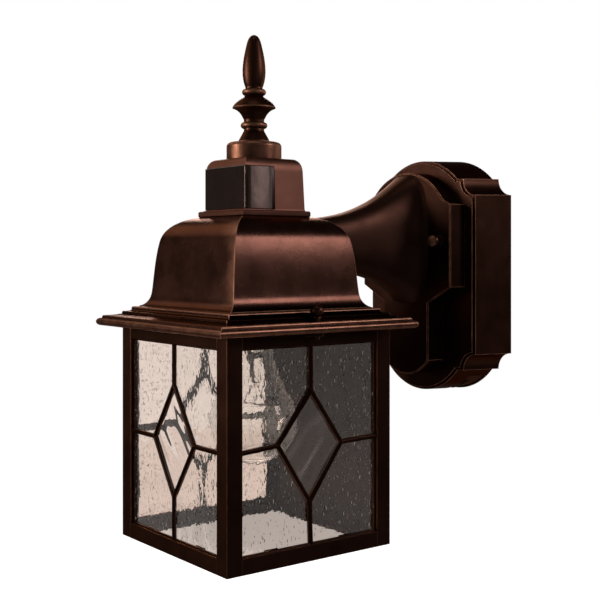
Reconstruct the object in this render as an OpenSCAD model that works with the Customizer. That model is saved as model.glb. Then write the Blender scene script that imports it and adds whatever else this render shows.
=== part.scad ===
// Outdoor wall lantern with a motion sensor in the cupola of its roof.
// The wall is the plane y = 0 and the lantern hangs in front of it, towards -Y, with +Z up.
// The origin lies on the wall, in the middle of the crossbar that carries the wall box.

/* [Arm and reach] */
// Distance from the wall to the upright axis of the lantern
reach = 197.5; // [165:0.5:240]
// Top of the arm above the origin, where it meets the roof
arm_tip_top = 18.6; // [16:0.1:18.9]
// Underside of the arm below the origin, where it meets the roof
arm_tip_drop = 18.5; // [14:0.1:21]
// Half width of the arm where it meets the roof
arm_tip_half = 14.5; // [12:0.1:18]
// Top of the arm's trumpet above the origin, at the front plate
arm_base_top = 54; // [48:0.5:54.5]
// Underside of the trumpet below the origin, at the front plate
arm_base_drop = 43.7; // [36:0.5:50]
// Half width of the trumpet at the front plate
arm_base_half = 25.5; // [20:0.5:29]

/* [Wall box] */
// Width of the wall box
box_w = 114.3; // [108:0.1:137]
// Height of the straight sides of the wall box
box_side_h = 117.5; // [112:0.5:141]
// How far the middle of the wall box lies below the origin
box_drop = 21.5; // [18:0.5:25]
// Depth of the wall box
box_d = 41; // [38:0.5:50]
// Wall thickness of every casting
cast_t = 2.5; // [2:0.1:3]
// Radius of the hollowed corners of the wall box
corner_r = 12.4; // [9:0.1:14]
// Half width of the arches above and below the wall box
arch_half = 39; // [36:0.5:42]
// Rise of the top arch
arch_rise_top = 15.8; // [12:0.1:18]
// Rise of the bottom arch
arch_rise_low = 18.2; // [16:0.1:20]
// Width and depth of the small step round the front edge of the wall box
rim_step = 1.8; // [1:0.1:2.4]

/* [Front plate] */
// Depth of the raised front plate
plate_d = 15.6; // [13:0.1:20]
// Width of the front plate
plate_w = 96.6; // [92:0.2:102]
// Height of the straight sides of the front plate
plate_side_h = 61; // [56:0.5:66]
// Top of the front plate above the origin
plate_top = 55.6; // [55:0.1:60]
// Radius of the front plate's top arch
plate_arch_r = 48; // [46:0.5:52]
// Half width of the tongue under the front plate
tongue_half = 24.8; // [20:0.1:28]
// Bottom of the tongue below the origin
tongue_drop = 98; // [92:0.5:100]
// Rise of the tongue's rounded end
tongue_rise = 12; // [8:0.5:14]

/* [Wall fixing] */
// Distance between the two studs
stud_pitch = 73.2; // [68:0.1:78]
// Height of the studs above the middle of the crossbar
stud_z = 3.5; // [0:0.1:4.5]
// Diameter of the studs
stud_d = 4.1; // [3.5:0.1:5]
// Clearance of a stud in its hole, on the radius
stud_gap = 0.4; // [0.2:0.05:0.6]
// Thickness of the crossbar
bar_t = 2; // [1.6:0.1:2.6]
// Distance between the middles of the two box screw slots
slot_pitch = 79.4; // [76:0.1:84]
// Length of each box screw slot
slot_len = 14; // [10:0.5:16]
// Width of each box screw slot
slot_w = 4.6; // [4.4:0.1:5.4]
// Diameter of the ball-shaped cap nuts
cap_nut_d = 9; // [8:0.1:11]
// Thickness of the foam gasket
gasket_t = 1.5; // [1:0.1:2.5]

/* [Roof] */
// Top of the roof above the origin
roof_top = 19; // [19:0.5:22]
// Underside of the eave below the origin
eave_drop = 56; // [54:0.5:60]
// Half width of the flat top of the roof
roof_top_half = 28; // [27.8:0.1:31]
// How far the sides of the dome stand inside the sides of the cage
dome_inset = 18.3; // [14:0.1:20]
// How far the eave stands out past the sides of the cage
eave_over = 13.8; // [12.5:0.1:17]
// Height of the eave's edge, from its bead to its plate
bead_h = 7.4; // [6:0.1:8]
// Radius of the bead under the edge
bead_r = 2.6; // [2.2:0.1:2.9]

/* [Cupola and sensor] */
// Width of the cupola at its top
cupola_w = 48; // [46:0.2:50]
// Height of the cupola
cupola_h = 39.6; // [36:0.2:46]
// Width of the flange under the cupola
flange_w = 55.5; // [54:0.1:55.6]
// Height of the sensor lens
lens_h = 29.2; // [24:0.2:30]
// Thickness of the sensor lens
lens_t = 1.2; // [0.9:0.1:1.6]
// Clearance round the sensor lens
lens_gap = 0.15; // [0.1:0.05:0.3]

/* [Finial] */
// Height of the finial above its collar
finial_h = 74; // [66:0.5:88]
// Largest radius of the finial's spear
spear_r = 7.5; // [6.5:0.1:9]
// Radius of the thin disc in the middle of the finial
disc_r = 14.9; // [12:0.1:18]
// Radius of the round collar
collar_r = 18.9; // [17:0.1:19.2]
// Height of the collar
collar_h = 11.9; // [9:0.1:14]
// Diameter of the threaded rod on the lantern's axis
rod_d = 9.8; // [9:0.1:10.5]
// Bore of the threaded rod
rod_bore = 6; // [5:0.1:7]
// Clearance round the rod in castings
rod_gap = 0.2; // [0.1:0.05:0.3]

/* [Cage] */
// Width of the cage over its corner posts
cage_w = 132; // [110:1:158]
// Height of the cage
cage_h = 146; // [122:0.5:174]
// Width of each leg of the corner posts
post_leg = 11.5; // [10:0.1:13]
// Sheet thickness of the cage
sheet_t = 1.2; // [1:0.1:1.5]
// Height of the bottom rail
low_rail_h = 10.3; // [8:0.1:13]
// Height of the top rail
top_rail_h = 8.1; // [7:0.1:11]
// Gap between the eave and the top of the cage
cage_gap = 0.3; // [0.2:0.05:0.5]

/* [Leaded panels] */
// Thickness of the glass
glass_t = 3; // [2.6:0.1:3.2]
// Thickness of the cames, front to back
came_t = 4; // [4:0.1:4.6]
// Width of the cames between the panes
came_w = 3; // [2.4:0.1:4]
// Width of the border came
border_w = 4.5; // [4:0.1:5]
// Thickness of the heart of a came
heart_t = 1.2; // [1:0.1:1.4]
// Clearance of the glass in its came
pane_gap = 0.1; // [0.05:0.05:0.2]
// How far the border came shows past the frame
border_show = 1; // [0.5:0.1:1.6]
// Half width of the diamond
diamond_half_w = 25; // [18:0.5:30]
// Half height of the diamond
diamond_half_h = 36.5; // [26:0.5:42]

/* [Ball screws] */
// Distance of the ball screws outside the cage's sides
screw_out = 4; // [3.6:0.1:5]
// Diameter of the ball
ball_d = 9; // [8:0.1:10]
// Diameter of the screw's shank
shank_d = 3.9; // [3.5:0.1:4.2]
// Clearance of the shank in its holes, on the radius
shank_gap = 0.25; // [0.2:0.05:0.35]

/* [Lampholder and bulb] */
// Outer radius of the lampholder
holder_r = 17.5; // [17:0.1:19]
// Depth of the lampholder's mouth below the origin
holder_drop = 66; // [64:0.5:70]
// Radius of the bulb
bulb_r = 30; // [28:0.5:35]
// Length of the bulb, from tip to crown
bulb_len = 108; // [100:0.5:120]
// Radius of the bulb's screw cap over its threads
cap_r = 12.9; // [12.7:0.05:13]
// Thickness of the bulb's glass
bulb_t = 0.8; // [0.6:0.1:1]

/* [Controls] */
// Width of each switch slot
switch_slot_w = 6; // [5:0.1:7]
// Distance of the switch slots from the wall
switch_y = 16; // [12:0.5:16.5]
// Angle of the switch slots to each side of the bottom of the arch
switch_angle = 22.5; // [21:0.5:24]
// Length of the switch knobs
knob_l = 7.5; // [6:0.1:8]
// Travel of each slide switch
switch_travel = 9; // [6:0.5:10]
// Clearance of the knobs in their slots
knob_gap = 0.4; // [0.3:0.05:0.6]

/* [Hidden] */

$fn = 64;
eps = 0.01;
far = 200;
thread_fit = 0.05;
bronze = [0.24, 0.13, 0.09];
copper = [0.48, 0.27, 0.19];
steel = [0.62, 0.63, 0.65];
brass = [0.74, 0.6, 0.32];
black = [0.07, 0.07, 0.08];
clear = [0.8, 0.86, 0.86, 0.35];

// Wall box
side_top = box_side_h/2 - box_drop;
side_low = -box_side_h/2 - box_drop;
step_top = side_top + corner_r;
step_low = side_low - corner_r;
arch_r_top = (arch_half*arch_half + arch_rise_top*arch_rise_top)/(2*arch_rise_top);
arch_r_low = (arch_half*arch_half + arch_rise_low*arch_rise_low)/(2*arch_rise_low);
arch_z_top = step_top + arch_rise_top - arch_r_top;
arch_z_low = step_low - arch_rise_low + arch_r_low;

// Wall fixing
bar_w = 16;
bar_leg_w = 20;
ground_x = 18;
ground_r = 2.35;
nut_foot_r = 4.8;
nut_foot_t = 1;
nut_t = 2.4;
ball_out = 5.1;

// Front plate
plate_y = box_d + plate_d;
plate_low = -plate_side_h/2;
plate_side_top = plate_side_h/2;
shoulder_x = 38;
shoulder_z = plate_top - plate_arch_r + sqrt(plate_arch_r*plate_arch_r - shoulder_x*shoulder_x);
taper_h = 12.5;
wire_hole_r = 9;
boss_r = 4.5;
nut_r = 4.6;
base_screw_top = arm_base_top - 10;
base_screw_low = arm_base_drop - 9.5;
base_screw_z = [base_screw_top, -base_screw_low];

// Cage
cage_half = cage_w/2;
cage_top = -eave_drop - cage_gap;
cage_low = cage_top - cage_h;
window_half = cage_half - post_leg - border_show;
window_top = cage_top - top_rail_h - border_show;
window_low = cage_low + low_rail_h + border_show;
window_mid = (window_top + window_low)/2;
panel_out = cage_half - sheet_t;
plate_edge = 8;
pane_edge = border_w - heart_t;

// Roof
dome_half = cage_half - dome_inset;
eave_half = cage_half + eave_over;
ledge_z = -eave_drop + bead_h + 0.6;
screw_x = cage_half + screw_out;
arm_tip_y = reach - roof_top_half - 1.5;
lead_hole_r = 5;
lead_hole_z = 3;
roof_screw_x = 8.5;
roof_screw_z = -8.5;
cable_hole = [9, 15];
roof_screw_head = 3.4;

// Cupola
cupola_top = roof_top + cupola_h;
lens_low = roof_top + 4.6;
board_y = 9;
board_half = 20;

// Rod, lampholder and bulb
rod_top = cupola_top + collar_h + 9;
rod_low = -27;
holder_top = -18;
lead_x = 11;
holder_floor = -40;
tip_z = holder_floor - 2.1;
bulb_crown = tip_z - bulb_len;
bulb_mid = bulb_crown + bulb_r;
cap_low = tip_z - 25;

// Controls
bezel_half = 33;
bezel_y0 = 3;
bezel_y1 = 20.5;
bezel_gap = 0.15;
slot_run = knob_l + switch_travel + 2*knob_gap;
slot_deep = sqrt(arch_r_low*arch_r_low - slot_run*slot_run/4);
case_r = arch_r_low - cast_t - 6.2;
case_top = -66;
rib_half = 6;
bezel_in = arch_r_low - cast_t - 1.8;
foot_z = slot_deep - sqrt(bezel_in*bezel_in - slot_run*slot_run/4) + 0.3;

// Points of a circular arc in a plane, from angle a0 to a1
function arc(cx, cz, r, a0, a1, n = 8) =
    [for (i = [0:n]) let (a = a0 + (a1 - a0)*i/n) [cx + r*cos(a), cz + r*sin(a)]];

// Point of a cubic curve at t, and n + 1 points along it
function bezier_at(p, t) = pow(1 - t, 3)*p[0] + 3*pow(1 - t, 2)*t*p[1] + 3*(1 - t)*t*t*p[2] + pow(t, 3)*p[3];
function bezier(p, n = 8) = [for (i = [0:n]) bezier_at(p, i/n)];
function mirrored(p) = [for (i = [len(p) - 1:-1:0]) [-p[i][0], p[i][1]]];

// Extrusion of an outline in the wall's plane, from y = -y0 out to y = -(y0 + depth)
module from_wall(y0, depth) translate([0, -y0, 0]) rotate([90, 0, 0]) linear_extrude(depth) children();

module at_lantern() translate([0, -reach, 0]) children();

// A rod along Y between two distances from the wall
module rod_y(x, z, y0, y1, r) translate([x, -y0, z]) rotate([90, 0, 0]) cylinder(h = y1 - y0, r = r);

// A body that is square in plan and follows a half profile of [half width, height] points
module square_turned(half) {
    w = max([for (p = half) p[0]]) + 1;
    intersection() {
        rotate([90, 0, 0]) linear_extrude(2*w, center = true) polygon(concat(half, mirrored(half)));
        rotate([90, 0, 90]) linear_extrude(2*w, center = true) polygon(concat(half, mirrored(half)));
    }
}

module ring_plate(outer, inner, z, h) translate([0, 0, z]) difference() {
    translate([-outer, -outer, 0]) cube([2*outer, 2*outer, h]);
    translate([-inner, -inner, -1]) cube([2*inner, 2*inner, h + 2]);
}

// A tube of 8 sides swept along a list of points
module swept(path, r) {
    n = len(path);
    side = 8;
    dirs = [for (i = [0:n - 1]) let (d = path[min(i + 1, n - 1)] - path[max(i - 1, 0)]) d/norm(d)];
    rings = [for (i = [0:n - 1])
        let (u0 = cross(dirs[i], [1, 0, 0]), u = u0/norm(u0), v = cross(dirs[i], u))
        for (k = [0:side - 1]) path[i] + r*(cos(360*k/side)*u + sin(360*k/side)*v)];
    walls = [for (i = [0:n - 2]) for (k = [0:side - 1]) let (a = i*side + k, b = i*side + (k + 1)%side)
        each [[a, a + side, b], [b, a + side, b + side]]];
    polyhedron(rings, concat(walls, [[for (k = [0:side - 1]) k]],
        [[for (k = [side - 1:-1:0]) (n - 1)*side + k]]));
}

// A smooth route through its points, halving the corners twice
function smooth(p) = concat([p[0]],
    [for (i = [0:len(p) - 2]) each [0.75*p[i] + 0.25*p[i + 1], 0.25*p[i] + 0.75*p[i + 1]]], [p[len(p) - 1]]);

// ---- Wall box ----

module arch_2d(half, radius, z, side, inset) intersection() {
    translate([0, z]) circle(radius - inset, $fn = 128);
    translate([-half + inset, side > 0 ? 0 : -far]) square([2*(half - inset), far]);
}

module box_outline(inset = 0) {
    difference() {
        translate([-box_w/2 + inset, step_low + inset])
            square([box_w - 2*inset, step_top - step_low - 2*inset]);
        for (x = [-1, 1], z = [step_low, step_top]) translate([x*box_w/2, z]) circle(corner_r + inset);
    }
    arch_2d(arch_half, arch_r_top, arch_z_top, 1, inset);
    arch_2d(arch_half, arch_r_low, arch_z_low, -1, inset);
}

// Sector of the bottom arch between two radii, cut to a half width
module arch_band(r_in, r_out, half) intersection() {
    translate([0, arch_z_low]) difference() {
        circle(r_out, $fn = 128);
        circle(r_in, $fn = 128);
    }
    translate([-half, -far]) square([2*half, far + arch_z_low]);
}

module back_box() color(bronze) difference() {
    union() {
        difference() {
            union() {
                from_wall(gasket_t, box_d - rim_step - gasket_t) box_outline();
                from_wall(gasket_t, box_d - gasket_t) box_outline(rim_step);
            }
            from_wall(0, box_d - rim_step - cast_t) box_outline(cast_t);
            from_wall(0, box_d - cast_t) box_outline(cast_t + rim_step);
        }
        for (x = [-1, 1]) rod_y(x*stud_pitch/2, stud_z, 9, box_d - eps, boss_r);
    }
    for (x = [-1, 1]) rod_y(x*stud_pitch/2, stud_z, 5, box_d + 1, stud_d/2 + stud_gap);
    rod_y(0, 0, box_d - 8, box_d + 1, wire_hole_r);
    for (z = base_screw_z) rod_y(0, z, box_d - 8, box_d + 1, boss_r);
    from_wall(bezel_y0 - bezel_gap, bezel_y1 - bezel_y0 + 2*bezel_gap)
        arch_band(arch_r_low - 2*cast_t, arch_r_low + 5, bezel_half + bezel_gap);
}

module wall_gasket() color(black) from_wall(0, gasket_t) difference() {
    box_outline(0.6);
    box_outline(cast_t + 5);
}

module crossbar() color(steel) from_wall(0, bar_t) difference() {
    union() {
        translate([0, stud_z]) square([stud_pitch + bar_w, bar_w], center = true);
        square([bar_leg_w, slot_pitch + slot_len + 8], center = true);
    }
    circle(5);
    for (x = [-1, 1]) translate([x*stud_pitch/2, stud_z]) circle(stud_d/2 + thread_fit);
    for (z = [-1, 1]) translate([0, z*slot_pitch/2]) {
        square([slot_w, slot_len - slot_w], center = true);
        for (e = [-1, 1]) translate([0, e*(slot_len - slot_w)/2]) circle(slot_w/2);
    }
    translate([ground_x, 0]) circle(ground_r + thread_fit);
}

module mounting_studs() color(brass) for (x = [-1, 1])
    rod_y(x*stud_pitch/2, stud_z, 0, plate_y + 5, stud_d/2);

module stud_nuts() color(steel) for (x = [-1, 1]) difference() {
    from_wall(bar_t, 3) translate([x*stud_pitch/2, stud_z]) circle(nut_r, $fn = 6);
    rod_y(x*stud_pitch/2, stud_z, 1, 8, stud_d/2 + thread_fit);
}

// Ball-shaped nuts with a short hexagon against the front plate
module cap_nuts() color(copper) for (x = [-1, 1]) difference() {
    union() {
        rod_y(x*stud_pitch/2, stud_z, plate_y, plate_y + nut_foot_t, nut_foot_r);
        from_wall(plate_y + nut_foot_t, nut_t) translate([x*stud_pitch/2, stud_z]) circle(nut_r, $fn = 6);
        translate([x*stud_pitch/2, -plate_y - ball_out, stud_z]) sphere(cap_nut_d/2);
    }
    rod_y(x*stud_pitch/2, stud_z, plate_y - 1, plate_y + ball_out + 0.1, stud_d/2 + thread_fit);
}

module ground_screw() color([0.2, 0.5, 0.25]) difference() {
    union() {
        rod_y(ground_x, 0, 0, bar_t + 1, ground_r);
        from_wall(bar_t, 3) translate([ground_x, 0]) circle(4.4, $fn = 6);
    }
    from_wall(bar_t + 2, 2) translate([ground_x, 0]) square([9, 1.1], center = true);
}

// ---- Front plate ----

module plate_outline(inset = 0) {
    half = plate_w/2 - inset;
    tongue = tongue_half - inset;
    tongue_r = (tongue_half*tongue_half + tongue_rise*tongue_rise)/(2*tongue_rise) - inset;
    side_x = plate_w/2;
    slope = atan2(shoulder_z - plate_side_top, side_x - shoulder_x);
    sag = 1.6;
    mid = [(shoulder_x + side_x)/2 - sag*sin(slope), (shoulder_z + plate_side_top)/2 - sag*cos(slope)];
    ogee = bezier([[side_x, plate_side_top], [mid[0] + 2.4, mid[1] - 1], [mid[0] - 2, mid[1] + 1.2],
        [shoulder_x, shoulder_z]], 6);
    right = [for (p = ogee) p - [inset, 0.6*inset]];
    intersection() {
        translate([0, plate_top - plate_arch_r]) circle(plate_arch_r - inset, $fn = 128);
        translate([-shoulder_x + inset, 0]) square([2*(shoulder_x - inset), 100]);
    }
    polygon(concat([[half, plate_low + 0.5*inset]], right, mirrored(right), [[-half, plate_low + 0.5*inset],
        [-tongue, plate_low - taper_h + 0.5*inset], [tongue, plate_low - taper_h + 0.5*inset]]));
    intersection() {
        translate([0, -tongue_drop + tongue_r + inset]) circle(tongue_r, $fn = 128);
        translate([-tongue, -tongue_drop + inset]) square([2*tongue, tongue_drop - taper_h]);
    }
    translate([-tongue, -tongue_drop + tongue_rise + 2])
        square([2*tongue, tongue_drop - tongue_rise - 2 + plate_low]);
}

module front_plate() color(bronze) difference() {
    union() {
        difference() {
            union() {
                from_wall(box_d, plate_d - 0.8) plate_outline();
                from_wall(box_d, plate_d) plate_outline(0.8);
            }
            from_wall(box_d - 1, plate_d - cast_t + 1) plate_outline(cast_t + 0.5);
        }
        for (x = [-1, 1]) rod_y(x*stud_pitch/2, stud_z, box_d, plate_y - 1, boss_r);
    }
    for (x = [-1, 1]) rod_y(x*stud_pitch/2, stud_z, box_d - 1, plate_y + 1, stud_d/2 + stud_gap);
    rod_y(0, 0, plate_y - 6, plate_y + 1, wire_hole_r);
    for (z = base_screw_z) rod_y(0, z, plate_y - 6, plate_y + 1, 2.2);
}

// ---- Arm ----

arm_side = 32;
arm_rings = 15;
arm_start = -arm_tip_y;
arm_end = -plate_y;
arm_run = arm_end - arm_start;
arm_top_line = [[arm_start, arm_tip_top], [arm_start + 0.62*arm_run, arm_tip_top],
    [arm_start + 0.83*arm_run, arm_base_top - 10.5], [arm_end, arm_base_top]];
arm_low_line = [[arm_start, -arm_tip_drop], [arm_start + 0.63*arm_run, -arm_tip_drop + 2],
    [arm_start + 0.78*arm_run, -arm_tip_drop - 9], [arm_end, -arm_base_drop]];
arm_side_line = [[arm_start, arm_tip_half], [arm_start + 0.8*arm_run, arm_tip_half],
    [arm_start + 0.97*arm_run, arm_tip_half + 0.8], [arm_end, arm_base_half]];

// Height of a cubic curve of [y, value] points where it passes y, found by halving
function at_y(line, y, lo = 0, hi = 1, n = 24) = n == 0 ? bezier_at(line, (lo + hi)/2)[1]
    : let (m = (lo + hi)/2, right = bezier_at(line, m)[0] < y)
        at_y(line, y, right ? m : lo, right ? hi : m, n - 1);

// One cross section of the arm: a softly cornered rectangle
function arm_ring(y, inset) =
    let (top = at_y(arm_top_line, y) - inset, low = at_y(arm_low_line, y) + inset,
        half = at_y(arm_side_line, y) - inset, mid = (top + low)/2, h = (top - low)/2)
    [for (k = [0:arm_side - 1]) let (a = 360*k/arm_side, c = cos(a), s = sin(a))
        [half*sign(c)*pow(abs(c), 0.68), y, mid + h*sign(s)*pow(abs(s), 0.68)]];

// A hollow loft whose ends are open
module arm_loft() {
    ys = [for (i = [0:arm_rings]) arm_start + arm_run*pow(i/arm_rings, 0.7)];
    outer = [for (y = ys) each arm_ring(y, 0)];
    inner = [for (y = ys) each arm_ring(y, cast_t)];
    m = arm_side;
    count = len(outer);
    walls = [for (i = [0:arm_rings - 1]) for (k = [0:m - 1]) let (a = i*m + k, b = i*m + (k + 1)%m)
        each [[a, b, a + m], [b, b + m, a + m],
            [count + a, count + a + m, count + b], [count + b, count + a + m, count + b + m]]];
    ends = [for (k = [0:m - 1]) let (n = (k + 1)%m, z = arm_rings*m)
        each [[k, count + k, n], [n, count + k, count + n],
            [z + k, z + n, count + z + k], [z + n, count + z + n, count + z + k]]];
    polyhedron(concat(outer, inner), concat(walls, ends));
}

// The part of the space inside the arm's outer surface, for trimming bosses
module arm_core() {
    ys = [for (i = [0:arm_rings]) arm_start + arm_run*pow(i/arm_rings, 0.7)];
    inner = [for (y = ys) each arm_ring(y, cast_t/2)];
    m = arm_side;
    walls = [for (i = [0:arm_rings - 1]) for (k = [0:m - 1]) let (a = i*m + k, b = i*m + (k + 1)%m)
        each [[a, b, a + m], [b, b + m, a + m]]];
    polyhedron(inner, concat(walls, [[for (k = [m - 1:-1:0]) k]], [[for (k = [0:m - 1]) arm_rings*m + k]]));
}

module arm() color(bronze) difference() {
    union() {
        arm_loft();
        intersection() {
            arm_core();
            union() {
                for (z = base_screw_z) rod_y(0, z + sign(z)*2, plate_y, plate_y + 16, boss_r + 1.5);
                for (x = [-1, 1]) rod_y(x*(roof_screw_x + 1), roof_screw_z, reach - cage_half, reach - 30, 4.5);
            }
        }
    }
    at_lantern() roof_outer();
    for (z = base_screw_z) rod_y(0, z, plate_y - 1, plate_y + 13, 1.8);
    for (x = [-1, 1]) rod_y(x*roof_screw_x, roof_screw_z, reach - dome_half - 18, reach - 25, 1.8);
}

module pan_screw(x, z, y_head, y_tip, r, head_r) {
    side = y_tip > y_head ? 1 : -1;
    rod_y(x, z, min(y_head, y_tip), max(y_head, y_tip), r);
    difference() {
        rod_y(x, z, min(y_head, y_head - side*2.4), max(y_head, y_head - side*2.4), head_r);
        for (a = [0, 90]) translate([x, -y_head + side*2.4, z]) rotate([0, a, 0])
            cube([head_r*1.2, 2, 0.9], center = true);
    }
}

module arm_base_screws() color(steel) for (z = base_screw_z)
    pan_screw(0, z, plate_y - cast_t, plate_y + 11, 1.75, 3.8);

// ---- Roof ----

// Half profile of the roof, up from the eave: bead, plate, two nosings with a hollow between, and bell
roof_profile = concat(
    [[eave_half - 3.8, -eave_drop]],
    arc(eave_half - bead_r, -eave_drop + bead_r, bead_r, -80, 90, 10),
    [[eave_half - 3.1, -eave_drop + 2*bead_r - 0.1], [eave_half - 3.3, -eave_drop + bead_h - 0.9],
     [eave_half - 3.9, -eave_drop + bead_h - 0.3], [cage_half + 5, ledge_z - 0.6],
     [cage_half + 1, ledge_z + 0.2]],
    arc(cage_half - 0.6, ledge_z + 1.1, 1, 0, 90, 3),
    bezier([[cage_half - 0.6, ledge_z + 2.1], [cage_half - 2.6, ledge_z + 2.2],
        [cage_half - 4.2, ledge_z + 2.5], [cage_half - 4.4, ledge_z + 3.4]], 4),
    arc(cage_half - 5.8, ledge_z + 4, 1.3, 0, 90, 4),
    [[cage_half - 8.2, ledge_z + 5.4]],
    bezier([[cage_half - 8.6, ledge_z + 6], [dome_half + 2.9, -36.4], [dome_half + 1.7, -16],
        [dome_half, -1]], 12),
    bezier([[dome_half, -1], [dome_half - 1.2, 11], [roof_top_half + 10, roof_top - 2.2],
        [roof_top_half, roof_top]], 10));

hollow_profile = concat(
    [[cage_half - 3.5, -eave_drop - 1], [cage_half - 3.5, ledge_z - 1.6], [cage_half - 7.5, ledge_z + 1.2]],
    bezier([[cage_half - 11.6, ledge_z + 4.4], [dome_half - 0.2, -36], [dome_half - 0.8, -16],
        [dome_half - cast_t, -2]], 6),
    bezier([[dome_half - cast_t, -2], [dome_half - 3.6, 9], [roof_top_half + 8, roof_top - 4.6],
        [roof_top_half - 2, roof_top - cast_t]], 6));

module roof_outer() square_turned(roof_profile);

module roof() color(bronze) at_lantern() difference() {
    union() {
        difference() {
            roof_outer();
            square_turned(hollow_profile);
            ring_plate(eave_half - 5, cage_half + 0.6, -eave_drop - 1, ledge_z - 3 + eave_drop + 1);
        }
        for (x = [-1, 1]) translate([x*screw_x, 0, -eave_drop]) cylinder(h = bead_h - 1, r = 4.2);
    }
    translate([0, 0, roof_top - 8]) cylinder(h = 10, r = rod_d/2 + rod_gap);
    translate([cable_hole[0], cable_hole[1], roof_top - 8]) cylinder(h = 10, r = 3.5);
    for (x = [-1, 1]) translate([x*screw_x, 0, -eave_drop - 1]) cylinder(h = 14, r = shank_d/2 + shank_gap);
    translate([0, reach, 0]) {
        rod_y(0, lead_hole_z, reach - dome_half - 3, reach - (dome_half + roof_top_half)/2, lead_hole_r);
        for (x = [-1, 1]) rod_y(x*roof_screw_x, roof_screw_z, reach - dome_half - 4, reach - dome_half + 7, 2.1);
    }
}

// Screws from inside the dome into the arm, on flats of the dome's wall
module roof_screws() color(steel) for (x = [-1, 1])
    pan_screw(x*roof_screw_x, roof_screw_z, reach - dome_half + cast_t + 0.3, reach - dome_half - 12, 1.75,
        roof_screw_head);

// ---- Cupola with the motion sensor ----

cupola_profile = let (h = cupola_w/2, f = flange_w/2, z = roof_top) concat(
    [[f - 0.8, z]], arc(f - 1, z + 1, 1, -45, 0, 3), arc(f - 1, z + 3, 1, 0, 90, 3),
    [[h + 1.2, z + 4.2], [h + 0.9, z + 5.4], [h, cupola_top - 7]],
    bezier([[h, cupola_top - 7], [h, cupola_top - 2.6], [h - 1.4, cupola_top - 0.9],
        [collar_r + 0.1, cupola_top]], 6));

// Plan of the lens at a distance inside its outer face, with bulged cheeks
module lens_plan(inset) {
    h = cupola_w/2 + 0.35;
    cheek = [for (i = [0:8]) let (t = i/8) [h + 0.9*sin(180*t) - inset, -h + t*(h - lens_gap)]];
    polygon(concat([[h - inset, -h + inset]], [for (i = [1:8]) cheek[i]],
        [[h - 6, -lens_gap], [-h + 6, -lens_gap]],
        [for (i = [8:-1:1]) [-cheek[i][0], cheek[i][1]]], [[-h + inset, -h + inset]]));
}

module cupola() color(copper) at_lantern() difference() {
    square_turned(cupola_profile);
    translate([-cupola_w/2 + 1.6, -cupola_w/2 + 1.6, roof_top - 1])
        cube([cupola_w - 3.2, cupola_w - 3.2, cupola_h - cast_t + 1]);
    translate([-40, -40, lens_low]) cube([80, 40, lens_h]);
    translate([0, 0, cupola_top - 5]) cylinder(h = 10, r = rod_d/2 + rod_gap);
}

module sensor_lens() color(black) at_lantern() difference() {
    translate([0, 0, lens_low + lens_gap]) linear_extrude(lens_h - 2*lens_gap) lens_plan(0);
    translate([0, 0, lens_low - 1]) linear_extrude(lens_h + 2) offset_plan();
}

// Inside of the lens: the plan again, narrower by the lens thickness and open at the back
module offset_plan() {
    h = cupola_w/2 + 0.35 - lens_t;
    translate([-h, -h]) square([2*h, h + 2]);
}

// Board that stands in two upright posts, with its small parts on the front
module sensor_board() color([0.1, 0.35, 0.2]) at_lantern() difference() {
    union() {
        translate([-board_half, -board_y, roof_top + 0.2]) cube([2*board_half, 1.6, 32]);
        translate([-16, -board_y - 5, roof_top + 6]) cube([7, 5, 9]);
        translate([9.5, -board_y - 4, roof_top + 6]) cube([6, 4, 6]);
        translate([12.5, -board_y - 3, roof_top + 25]) rotate([-90, 0, 0]) cylinder(h = 3, r = 2.6);
    }
    for (x = [-17, 17]) translate([x, -board_y - 1, roof_top + 29]) rotate([-90, 0, 0])
        cylinder(h = 4, r = 1.5);
}

module infrared_sensor() color(steel) at_lantern()
    translate([0, -board_y, lens_low + lens_h/2]) rotate([90, 0, 0]) difference() {
        union() {
            cylinder(h = 0.6, r = 4.7);
            cylinder(h = 4.2, r = 4.15);
        }
        translate([-2, -1.5, 3.9]) cube([4, 3, 1]);
    }

// ---- Collar, finial and rod ----

module collar() color(copper) at_lantern() translate([0, 0, cupola_top]) rotate_extrude() polygon(concat(
    [[rod_d/2 + rod_gap, 0], [collar_r, 0]], arc(collar_r - 3.2, collar_h - 3.2, 3.2, 0, 75, 6),
    [[12, collar_h], [rod_d/2 + rod_gap, collar_h]]));

finial_z = cupola_top + collar_h;
neck_r = 7;
spear_foot = [5.9, 37.7];
spear_end = [5.6, 65.4];

// Half profile of the finial from its seat up: flared foot, ring, sharp-edged disc, ring and spear
finial_profile = concat(
    [[0, 0], [10.9, 0], [10.9, 0.6]],
    bezier([[10.9, 0.6], [10, 2.8], [8.3, 5.4], [neck_r, 8]], 6),
    arc(neck_r, 11.7, 2.2, -90, 90, 8),
    bezier([[neck_r, 15.6], [8.6, 18.4], [9.4, 21.6], [disc_r, 23.6]], 8),
    bezier([[disc_r, 23.9], [13.6, 27], [9.6, 29.6], [neck_r, 31]], 8),
    arc(neck_r - 0.9, 34.5, 2.2, -90, 90, 8),
    bezier([spear_foot, [spear_r + 1, 44], [spear_r + 1.3, 52], spear_end], 12),
    bezier([spear_end, [4.8, 68.6], [4, finial_h - 0.2], [0, finial_h]], 8));

module finial() color(bronze) at_lantern() translate([0, 0, finial_z]) difference() {
    rotate_extrude() polygon(finial_profile);
    translate([0, 0, -1]) cylinder(h = rod_top - finial_z + 1.5, r = rod_d/2 + thread_fit);
}

module centre_rod() color(brass) at_lantern() translate([0, 0, rod_low]) difference() {
    cylinder(h = rod_top - rod_low, r = rod_d/2);
    translate([0, 0, -1]) cylinder(h = rod_top - rod_low + 2, r = rod_bore/2);
}

module rod_nut() color(steel) at_lantern() translate([0, 0, roof_top - cast_t - 4]) difference() {
    cylinder(h = 4, r = 8.7, $fn = 6);
    translate([0, 0, -1]) cylinder(h = 6, r = rod_d/2 + thread_fit);
}

// ---- Lampholder ----

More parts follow.
